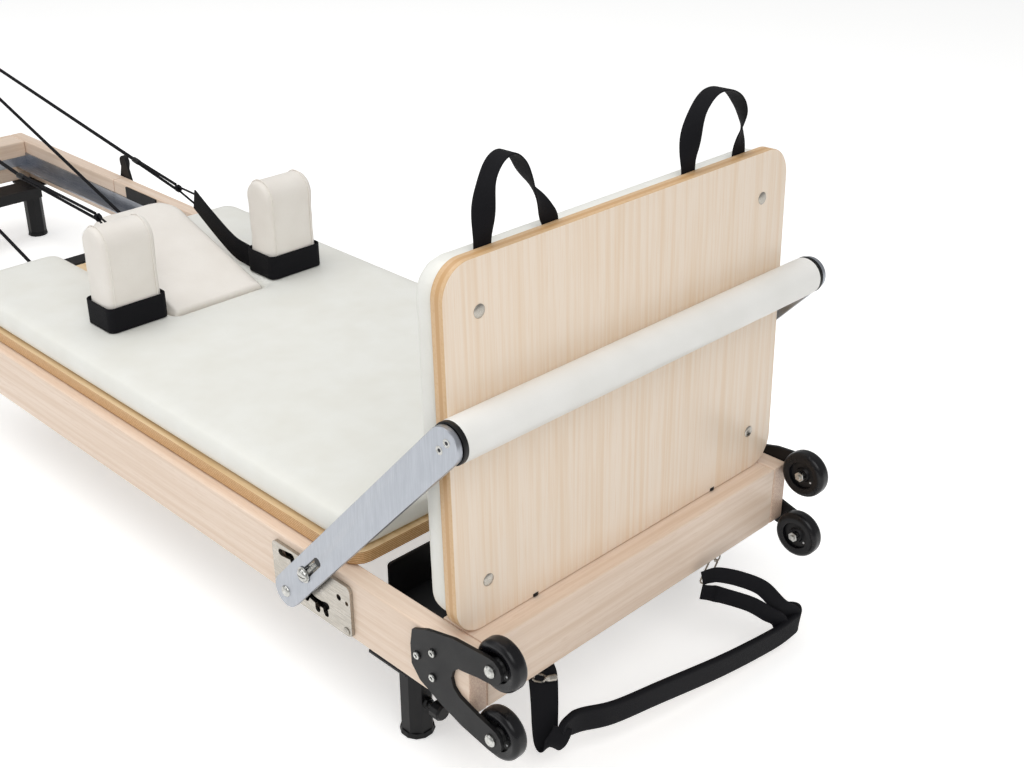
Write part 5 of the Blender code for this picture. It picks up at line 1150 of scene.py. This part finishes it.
@dataclass
class Carriage:
    """The pads, shoulder rests and springs of the carriage."""

    rest_x: float = FOOT_FACE - REST_FACE
    rest_depth: float = REST_DEPTH
    rest_inner: float = REST_INNER
    rest_width: float = REST_WIDTH
    rest_height: float = 0.178
    post_radius: float = 0.006
    post_spacing: float = 0.050
    post_depth: float = 0.058
    spring_radius: float = 0.011
    headrest_hinge: float = 0.979
    headrest_tilt: float = math.radians(18)
    headrest_pad_lift: float = 0.0106

    def posts(self, sign: int) -> Outline:
        """Plan places of one rest's two posts.

        Args:
            sign: -1 on the near side, 1 on the far side.

        Returns:
            The posts' X and Y.
        """
        middle = self.rest_inner + self.rest_width / 2
        return [(self.rest_x - self.rest_depth / 2, sign * (middle + shift))
                for shift in (-self.post_spacing / 2, self.post_spacing / 2)]

    def rods(self, radius: float, low: float, high: float, sign: int) -> bmesh.types.BMesh:
        """Upright rods at one rest's posts.

        Args:
            radius: the rods' radius.
            low: their lower end.
            high: their upper end.
            sign: -1 on the near side, 1 on the far side.

        Returns:
            The rods.
        """
        rod = [(0.0, radius - 0.0005), (0.0005, radius), (high - low, radius)]
        return joined(*[turned(rod, Vector((x, y, low)), (0, 0, 1), 32) for x, y in self.posts(sign)])

    def build(self) -> None:
        """Builds the carriage's soft pieces and its springs."""
        pad = finish_piece("carriage_cushion", node_copy("carriage_pad"), CREAM, "carriage",
                           ("carriage_pad",))
        Swelling(Vector((0, 0, PAD_BOTTOM)), Vector((0, 0, 1)), 0.008, 0.0003, 0.0014).run(pad)
        holes = joined(*[self.rods(self.post_radius + 0.0008, PAD_BOTTOM - 0.01, PAD_TOP + 0.01, sign)
                         for sign in SIDES.values()])
        cut_out(pad, holes)
        up = Matrix.Rotation(self.headrest_tilt, 3, "Y") @ Vector((0, 0, 1))
        pivot = Vector((FOOT_FACE - self.headrest_hinge, 0.0, PAD_TOP))
        base = pivot + up * (PAD_BOTTOM + self.headrest_pad_lift - PAD_TOP)
        rest = finish_piece("headrest_cushion", node_copy("headrest_pad"), WARM_CREAM, "headrest",
                            ("headrest_pad",))
        Swelling(base, up, 0.004, 0.0010, 0.0016).run(rest)
        for side, sign in SIDES.items():
            self.shoulder_rest(side, sign)
        for name in ("near_outer", "near_inner", "far_inner", "far_outer"):
            self.spring(name)

    def outline(self, low: float, inset: float, steps: int = 32) -> Outline:
        """A rest's side outline in the X-Z plane, drawn in by an inset.

        Args:
            low: the height of its foot.
            inset: how far it is drawn in.
            steps: edges on its round top.

        Returns:
            The outline's X and Z points, from the head-end corner of its foot.
        """
        radius = self.rest_depth / 2
        return [(self.rest_x - self.rest_depth + inset, low + inset), (self.rest_x - inset, low + inset)] + arc(
            (self.rest_x - radius, low + self.rest_height - radius), radius - inset, 0, 180, steps)

    def shoulder_rest(self, side: str, sign: int) -> None:
        """Builds one rest: its cushion, posts and the seams round its ends.

        Args:
            side: the side's name.
            sign: -1 on the near side, 1 on the far side.
        """
        low = PAD_TOP + SEAT
        bm = bmesh.new()
        inner = self.rest_inner if sign > 0 else -self.rest_inner - self.rest_width
        rings = []
        corner = ((0.0130, 0.0), (0.0047, 0.0016), (0.0013, 0.0052), (0.0, 0.0110))
        for inset, along in corner + tuple((inset, self.rest_width - along) for inset, along in reversed(corner)):
            verts = [bm.verts.new((x, inner + along, z)) for x, z in self.outline(low, inset)]
            rings.append([bm.edges.new(pair) for pair in zip(verts, verts[1:] + verts[:1])])
        for first, second in zip(rings, rings[1:]):
            bmesh.ops.bridge_loops(bm, edges=first + second)
        for ring in (rings[0], rings[-1]):
            bmesh.ops.edgeloop_fill(bm, edges=ring)
        body = side + "_rest"
        pad = finish_piece(side + "_rest_cushion", bm, WARM_CREAM, body, (side + "_shoulder_rest",))
        Swelling(Vector((0, 0, low)), Vector((0, 0, 1)), 0.004, 0.0010, 0.0024).run(pad)
        rods = self.rods(self.post_radius, low - self.post_depth, low + 0.0010, sign)
        finish_piece(side + "_rest_posts", rods, ZINC, body)
        for index, along in enumerate((0.0125, self.rest_width - 0.0125)):
            arch = self.outline(low, 0.0003)[1:] + [(self.rest_x - self.rest_depth + 0.0003, low + 0.004)]
            arch[0] = (self.rest_x - 0.0003, low + 0.004)
            path = [Vector((x, inner + along, z)) for x, z in arch]
            seam(f"{side}_rest_seam_{index}", path, body)

    def spring(self, name: str) -> None:
        """Builds one parked spring with its two hooks.

        Args:
            name: the spring's place.
        """
        low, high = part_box(name + "_spring")
        middle = (low + high) / 2
        turns = 116
        start = Vector((high.x - 0.014, middle.y, middle.z))
        body = coil(start, Vector((-1, 0, 0)), self.spring_radius - 0.0012, 0.0022, turns, 0.300 / turns, 12)
        hooks = []
        for x, face in ((high.x - 0.0145, 1), (low.x + 0.0145, -1)):
            radius = 0.0045
            eye = [Vector((x + face * (radius + 0.0042 + radius * math.cos(math.radians(angle))), middle.y,
                           middle.z + radius * math.sin(math.radians(angle)) * 0.66))
                   for angle in range(180, -120, -20)]
            root = Vector((x - face * 0.002, middle.y, middle.z))
            hooks.append(swept([root] + eye, None, 0.0022, 0.0022, False, 8))
        finish_piece(name + "_coil", joined(body, *hooks), ZINC, "carriage", (name + "_spring",), 80)


@dataclass
class HandStraps:
    """Hand loops round the shoulder rests, and the ropes over the pulleys to the carriage."""

    tails: dict = field(default_factory=lambda: {
        "near": ((1.0520, -0.117, 0.088), (1.075, -0.112, 0.105), (1.105, -0.108, 0.140), (1.138, -0.105, 0.170)),
        "far": ((1.0520, 0.117, 0.088), (1.095, 0.112, 0.098), (1.165, 0.118, 0.122), (1.245, 0.130, 0.148))})
    knots: dict = field(default_factory=lambda: {"near": (1.187, -0.104, 0.187), "far": (1.300, 0.130, 0.156)})
    splices: dict = field(default_factory=lambda: {"near": (1.440, -0.116, 0.205), "far": (1.445, 0.129, 0.178)})
    pulley: Vector = field(default_factory=lambda: at(2.166, 0.0, 0.274))
    spread: float = 0.120
    wrap_radius: float = 0.0233
    rope: float = 0.007
    cord: float = 0.004
    pair: float = 0.0055
    travel: float = 0.78
    loop_corner: float = 0.011
    loop_width: float = 0.044
    loop_thick: float = 0.003
    tail_width: float = 0.043
    eye_spread: float = 0.0108

    def build(self) -> None:
        """Builds both sides."""
        for side, sign in SIDES.items():
            self.loop(side, sign)
            self.ropes(side, sign)
            self.pulley_wheel(side, sign)

    def loop(self, side: str, sign: int) -> None:
        """Builds one loop: the band, its sewn tail, two short cords and the knot.

        Args:
            side: the side's name.
            sign: -1 on the near side, 1 on the far side.
        """
        gap = 0.0027
        x0, x1 = FOOT_FACE - REST_FACE - REST_DEPTH - gap, FOOT_FACE - REST_FACE + gap
        z = PAD_TOP + 0.0012 + self.loop_width / 2
        outer = REST_INNER + REST_WIDTH + gap
        corners = rounded_rectangle(x0, REST_INNER - gap, x1, outer, self.loop_corner, 8)
        band = []
        for first, second in zip(corners, corners[1:] + corners[:1]):
            legs = max(1, round(math.dist(first, second) / 0.012))
            band += [Vector((first[0] + (second[0] - first[0]) * step / legs,
                             sign * (first[1] + (second[1] - first[1]) * step / legs), z))
                     for step in range(legs)]
        upright_width = Vector((0, 0, 1))
        tail = smooth_path([at(*point) for point in self.tails[side]], 6)
        pieces = [swept(band, lambda index: upright_width, self.loop_width, self.loop_thick, True),
                  swept(tail, lambda index: upright_width, self.tail_width, self.loop_thick)]
        strap = finish_piece(side + "_loop_strap", joined(*pieces), WEBBING, "carriage",
                             (side + "_hand_loop",), 60)
        end, centre = at(*self.tails[side][-1]), at(*self.knots[side])
        toward = (centre - end).normalized()
        cords = []
        for shift in (-1, 1):
            start = end - toward * 0.004 + Vector((0, 0, shift * self.eye_spread))
            stop = centre + Vector((0, 0, shift * 0.0035))
            cords.append(swept([start.lerp(stop, step / 6) for step in range(7)], None, self.cord, self.cord))
        turn = Vector((0, 0, 1)).rotation_difference(toward).to_matrix().to_4x4()
        for tip, roll in ((0.35, 0.0), (-0.35, 1.3), (0.0, 2.6)):
            ring = [Vector((0.0046 * math.cos(angle), 0.0046 * math.sin(angle),
                            0.0030 * math.sin(angle + roll) + tip * 0.004))
                    for angle in (2 * math.pi * step / 20 for step in range(20))]
            path = [Matrix.Translation(centre) @ turn @ spot for spot in ring]
            cords.append(swept(path, None, 0.0046, 0.0046, True, 10))
        finish_piece(side + "_loop_cords", joined(*cords), CORD, "carriage", smooth=80)

    def tangent(self, point: Vector, turn: int) -> float:
        """Angle at which a line from a point touches the rope's circle round the pulley.

        Args:
            point: where the line starts.
            turn: 1 for the touch on one side, -1 for the other.

        Returns:
            The angle in degrees.
        """
        offset = point - self.pulley
        length = math.hypot(offset.x, offset.z)
        return math.degrees(math.atan2(offset.z, offset.x) + turn * math.acos(self.wrap_radius / length))

    def ropes(self, side: str, sign: int) -> None:
        """Builds the doubled cord, the splice, and the rope's leg out, wrap and leg back.

        Args:
            side: the side's name.
            sign: -1 on the near side, 1 on the far side.
        """
        start, centre = at(*self.splices[side]), at(*self.knots[side])
        end = at(1.4008, sign * 0.120, 0.012)
        first, last = self.tangent(start, 1), 360 + self.tangent(end, -1)
        turns = arc((self.pulley.x, self.pulley.z), self.wrap_radius, first, last, 32)
        wrap = [Vector((x, sign * self.spread, z)) for x, z in turns]
        out_leg = [start.lerp(wrap[0], step / 40) for step in range(41)]
        back_leg = [wrap[-1].lerp(end, step / 40) for step in range(41)]
        toward = (start - centre).normalized()
        pair = []
        for index, offset in enumerate((-0.0048, 0.0048)):
            low = centre + toward * 0.0078 + Vector((0, 0, offset))
            high = start - toward * 0.0055 + Vector((0, 0, offset / 2))
            path = [low.lerp(high, step / 16) for step in range(17)]
            thin = finish_piece(f"{side}_thin_cord_{index}", swept(path, None, self.pair, self.pair), CORD,
                                "carriage", (side + "_rope",), 80)
            pair.append(thin)
        sleeve = [(-0.011, 0.0040), (-0.0095, 0.0052), (-0.006, 0.0055), (0.006, 0.0055), (0.0095, 0.0052),
                  (0.011, 0.0040)]
        splice = finish_piece(side + "_rope_splice", turned(sleeve, start, toward, 32), NYLON, "carriage")
        out = finish_piece(side + "_rope_out", swept(out_leg, None, self.rope, self.rope), CORD, "carriage",
                           (side + "_rope",), 80)
        back = finish_piece(side + "_rope_back", swept(back_leg, None, self.rope, self.rope), CORD, "carriage",
                            (side + "_rope",), 80)
        around = finish_piece(side + "_rope_wrap", swept(wrap, None, self.rope, self.rope), CORD, "head_section",
                              (side + "_rope",), 80)
        for piece in (*pair, splice, out):
            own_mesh(piece)
        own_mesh(back)

    def pulley_wheel(self, side: str, sign: int) -> None:
        """Builds one grooved pulley with its hub.

        Args:
            side: the side's name.
            sign: -1 on the near side, 1 on the far side.
        """
        upper = [(0.0137, 0.0044), (0.0137, 0.0085), (0.0130, 0.009), (0.007, 0.010), (0.007, 0.0244), (0.0062, 0.025),
                 (0.0040, 0.0205), (0.0022, 0.0190)]
        groove = upper + [(-along, radius) for along, radius in reversed(upper)]
        centre = Vector((self.pulley.x, sign * self.spread, self.pulley.z))
        finish_piece(side + "_pulley_wheel", turned(groove, centre, (0, 1, 0), 96, True), NYLON, side + "_pulley",
                     (side + "_pulley",))


@dataclass
class FootStrap:
    """The padded band under the end rail and the webbing at both its ends."""

    width: float = 0.040
    band_thickness: float = 0.009
    webbing: float = 0.0022
    band: tuple = ((0.036, -0.199, 0.169), (0.036, -0.190, 0.167), (0.040, -0.166, 0.168), (0.058, -0.122, 0.171),
                   (0.074, -0.046, 0.173), (0.088, 0.073, 0.187), (0.0965, 0.180, 0.196), (0.1005, 0.222, 0.192),
                   (0.100, 0.236, 0.189), (0.092, 0.244, 0.187), (0.083, 0.238, 0.186), (0.080, 0.228, 0.186))
    near: tuple = ((-0.018, -0.190, 0.0968), (-0.012, -0.191, 0.0985), (-0.003, -0.193, 0.108),
                   (0.006, -0.199, 0.138), (0.014, -0.206, 0.168), (0.020, -0.210, 0.187),
                   (0.027, -0.212, 0.192), (0.033, -0.207, 0.186),
                   (0.036, -0.200, 0.175), (0.0365, -0.196, 0.165))
    upper: tuple = ((0.015, 0.1125, 0.0965), (0.021, 0.122, 0.094), (0.030, 0.133, 0.093), (0.050, 0.155, 0.101),
                    (0.072, 0.180, 0.118), (0.090, 0.200, 0.148), (0.0985, 0.222, 0.168), (0.1005, 0.224, 0.179))
    lower: tuple = ((0.015, 0.1125, 0.1195), (0.026, 0.123, 0.1215), (0.040, 0.130, 0.122), (0.068, 0.160, 0.138),
                    (0.086, 0.182, 0.158), (0.093, 0.196, 0.170), (0.097, 0.200, 0.181))

    def point(self, ahead: float, y: float, drop: float) -> Vector:
        """A point before the foot face and under the rails' top."""
        return Vector((FOOT_FACE + ahead, y, RAIL_TOP - drop))

    def build(self) -> None:
        """Builds the band and the webbing."""
        path = smooth_path([self.point(*spot) for spot in self.band], 8)
        tall = Vector((0.10, 0, 0.995))
        band = finish_piece("foot_strap_band",
                            swept(path, lambda index: tall * min(1.0, 0.25 + 0.06 * index), self.width,
                                  self.band_thickness), WEBBING, "frame", ("foot_strap",), 60)
        path = smooth_path([self.point(*spot) for spot in self.near], 8)
        sides = [Vector((0.6, 0.8, 0)) * (1.0 - 0.4 * index / len(path)) for index in range(len(path))]
        pieces = [swept(path, sides.__getitem__, 1.05 * self.width, self.webbing)]
        start, end = Vector((0.2, 0.3, 0.9)), Vector((0.5, 0.8, 0.2))
        for route in (self.upper, self.lower):
            path = smooth_path([self.point(*spot) for spot in route], 8)
            sides = [start.lerp(end, index / (len(path) - 1)).normalized() for index in range(len(path))]
            pieces.append(swept(path, sides.__getitem__, 0.6 * self.width, self.webbing))
        finish_piece("foot_strap_webbing", joined(*pieces), WEBBING, "frame", ("foot_strap",), 60)


@dataclass
class Studio:
    """Camera, soft lights and a plain pale floor."""

    eye: Vector = field(default_factory=lambda: Vector((FOOT_FACE + 0.9708, -1.2199, 1.2752)))
    azimuth: float = 0.7870
    elevation: float = 0.4729
    lens: float = 48.65

    def build(self) -> None:
        """Sets the view, the camera, the floor, the world and the lamps."""
        scene = bpy.context.scene
        scene.view_settings.view_transform = "Standard"
        self.camera(scene)
        self.floor()
        self.world(scene)
        self.lamp("key", (3.4, -1.6, 3.6), 3.0, 72.0)
        self.lamp("top", (-0.6, -0.4, 4.0), 3.6, 64.0)
        self.lamp("fill", (-1.5, -4.2, 2.2), 3.0, 30.0)

    def camera(self, scene: bpy.types.Scene) -> None:
        """Adds the camera at the photograph's place.

        Args:
            scene: the scene that gets it.
        """
        data = bpy.data.cameras.new("camera")
        data.lens, data.sensor_width = self.lens, 36.0
        data.clip_end = 60.0
        item = bpy.data.objects.new("camera", data)
        scene.collection.objects.link(item)
        sin_a, cos_a = math.sin(self.azimuth), math.cos(self.azimuth)
        sin_e, cos_e = math.sin(self.elevation), math.cos(self.elevation)
        back = Vector((sin_a * cos_e, -cos_a * cos_e, sin_e))
        right = Vector((cos_a, sin_a, 0.0))
        turn = Matrix((right, back.cross(right), back)).transposed().to_4x4()
        turn.translation = self.eye
        item.matrix_world = turn
        scene.camera = item

    def floor(self) -> None:
        """Adds the floor, white to the camera and in reflections, with the object's shadow on it."""
        bm = bmesh.new()
        bmesh.ops.create_grid(bm, x_segments=1, y_segments=1, size=20.0,
                              matrix=Matrix.Translation((0, 0, -0.0005)))
        mesh = bpy.data.meshes.new("floor")
        bm.to_mesh(mesh)
        bm.free()
        made = bpy.data.materials.new("pale_floor")
        made.use_nodes = True
        tree = made.node_tree
        shader = tree.nodes["Principled BSDF"]
        shader.inputs["Base Color"].default_value = linear("#F4F4F3")
        shader.inputs["Roughness"].default_value = 0.9
        shader.inputs["Specular IOR Level"].default_value = 0.1
        rays = add_node(tree, "ShaderNodeLightPath")
        seen = add_node(tree, "ShaderNodeMath", {0: rays.outputs["Is Camera Ray"],
                                                 1: rays.outputs["Is Glossy Ray"]}, operation="MAXIMUM")
        glow = add_node(tree, "ShaderNodeMath", {0: seen.outputs[0], 1: 0.45}, operation="MULTIPLY")
        shader.inputs["Emission Color"].default_value = (1.0, 1.0, 1.0, 1.0)
        tree.links.new(glow.outputs[0], shader.inputs["Emission Strength"])
        mesh.materials.append(made)
        item = bpy.data.objects.new("floor", mesh)
        bpy.context.scene.collection.objects.link(item)

    def world(self, scene: bpy.types.Scene) -> None:
        """Sets a soft grey light all round, seen as white by the camera and in gloss.

        Args:
            scene: the scene that gets it.
        """
        world = bpy.data.worlds.new("studio")
        scene.world = world
        world.use_nodes = True
        tree = world.node_tree
        back = tree.nodes["Background"]
        back.inputs["Color"].default_value = (1.0, 1.0, 1.0, 1.0)
        rays = add_node(tree, "ShaderNodeLightPath")
        seen = add_node(tree, "ShaderNodeMath", {0: rays.outputs["Is Camera Ray"],
                                                 1: rays.outputs["Is Transmission Ray"]}, operation="MAXIMUM")
        level = add_node(tree, "ShaderNodeMapRange", {"Value": seen.outputs[0], "To Min": 0.43, "To Max": 1.0})
        tree.links.new(level.outputs[0], back.inputs["Strength"])

    def lamp(self, name: str, place: Sequence[float], size: float, power: float) -> None:
        """Adds a square area lamp that looks at the object.

        Args:
            name: the lamp's name.
            place: where it hangs.
            size: its side.
            power: its watts.
        """
        data = bpy.data.lights.new(name, "AREA")
        data.size, data.energy = size, power
        item = bpy.data.objects.new(name, data)
        bpy.context.scene.collection.objects.link(item)
        item.location = place
        item.rotation_euler = (Vector((0.4, 0, 0.3)) - Vector(place)).to_track_quat("-Z", "Y").to_euler()


def dress_nodes() -> None:
    """Gives every node that stays its finish."""
    for finish, names in NODE_FINISHES.items():
        for name in names:
            for slot in NODES[name].material_slots:
                slot.material = finish.material()


def main() -> None:
    """Builds the object's sub-assemblies in order."""
    logging.basicConfig(level=logging.INFO, format="%(message)s")
    dress_nodes()
    for kind in (Studio, Wheels, Footbar, PocketShadeSheets, JumpBoard, Carriage, HandStraps, FootStrap):
        LOG.info("building %s", kind.__name__)
        kind().build()


if __name__ == "__main__":
    main()
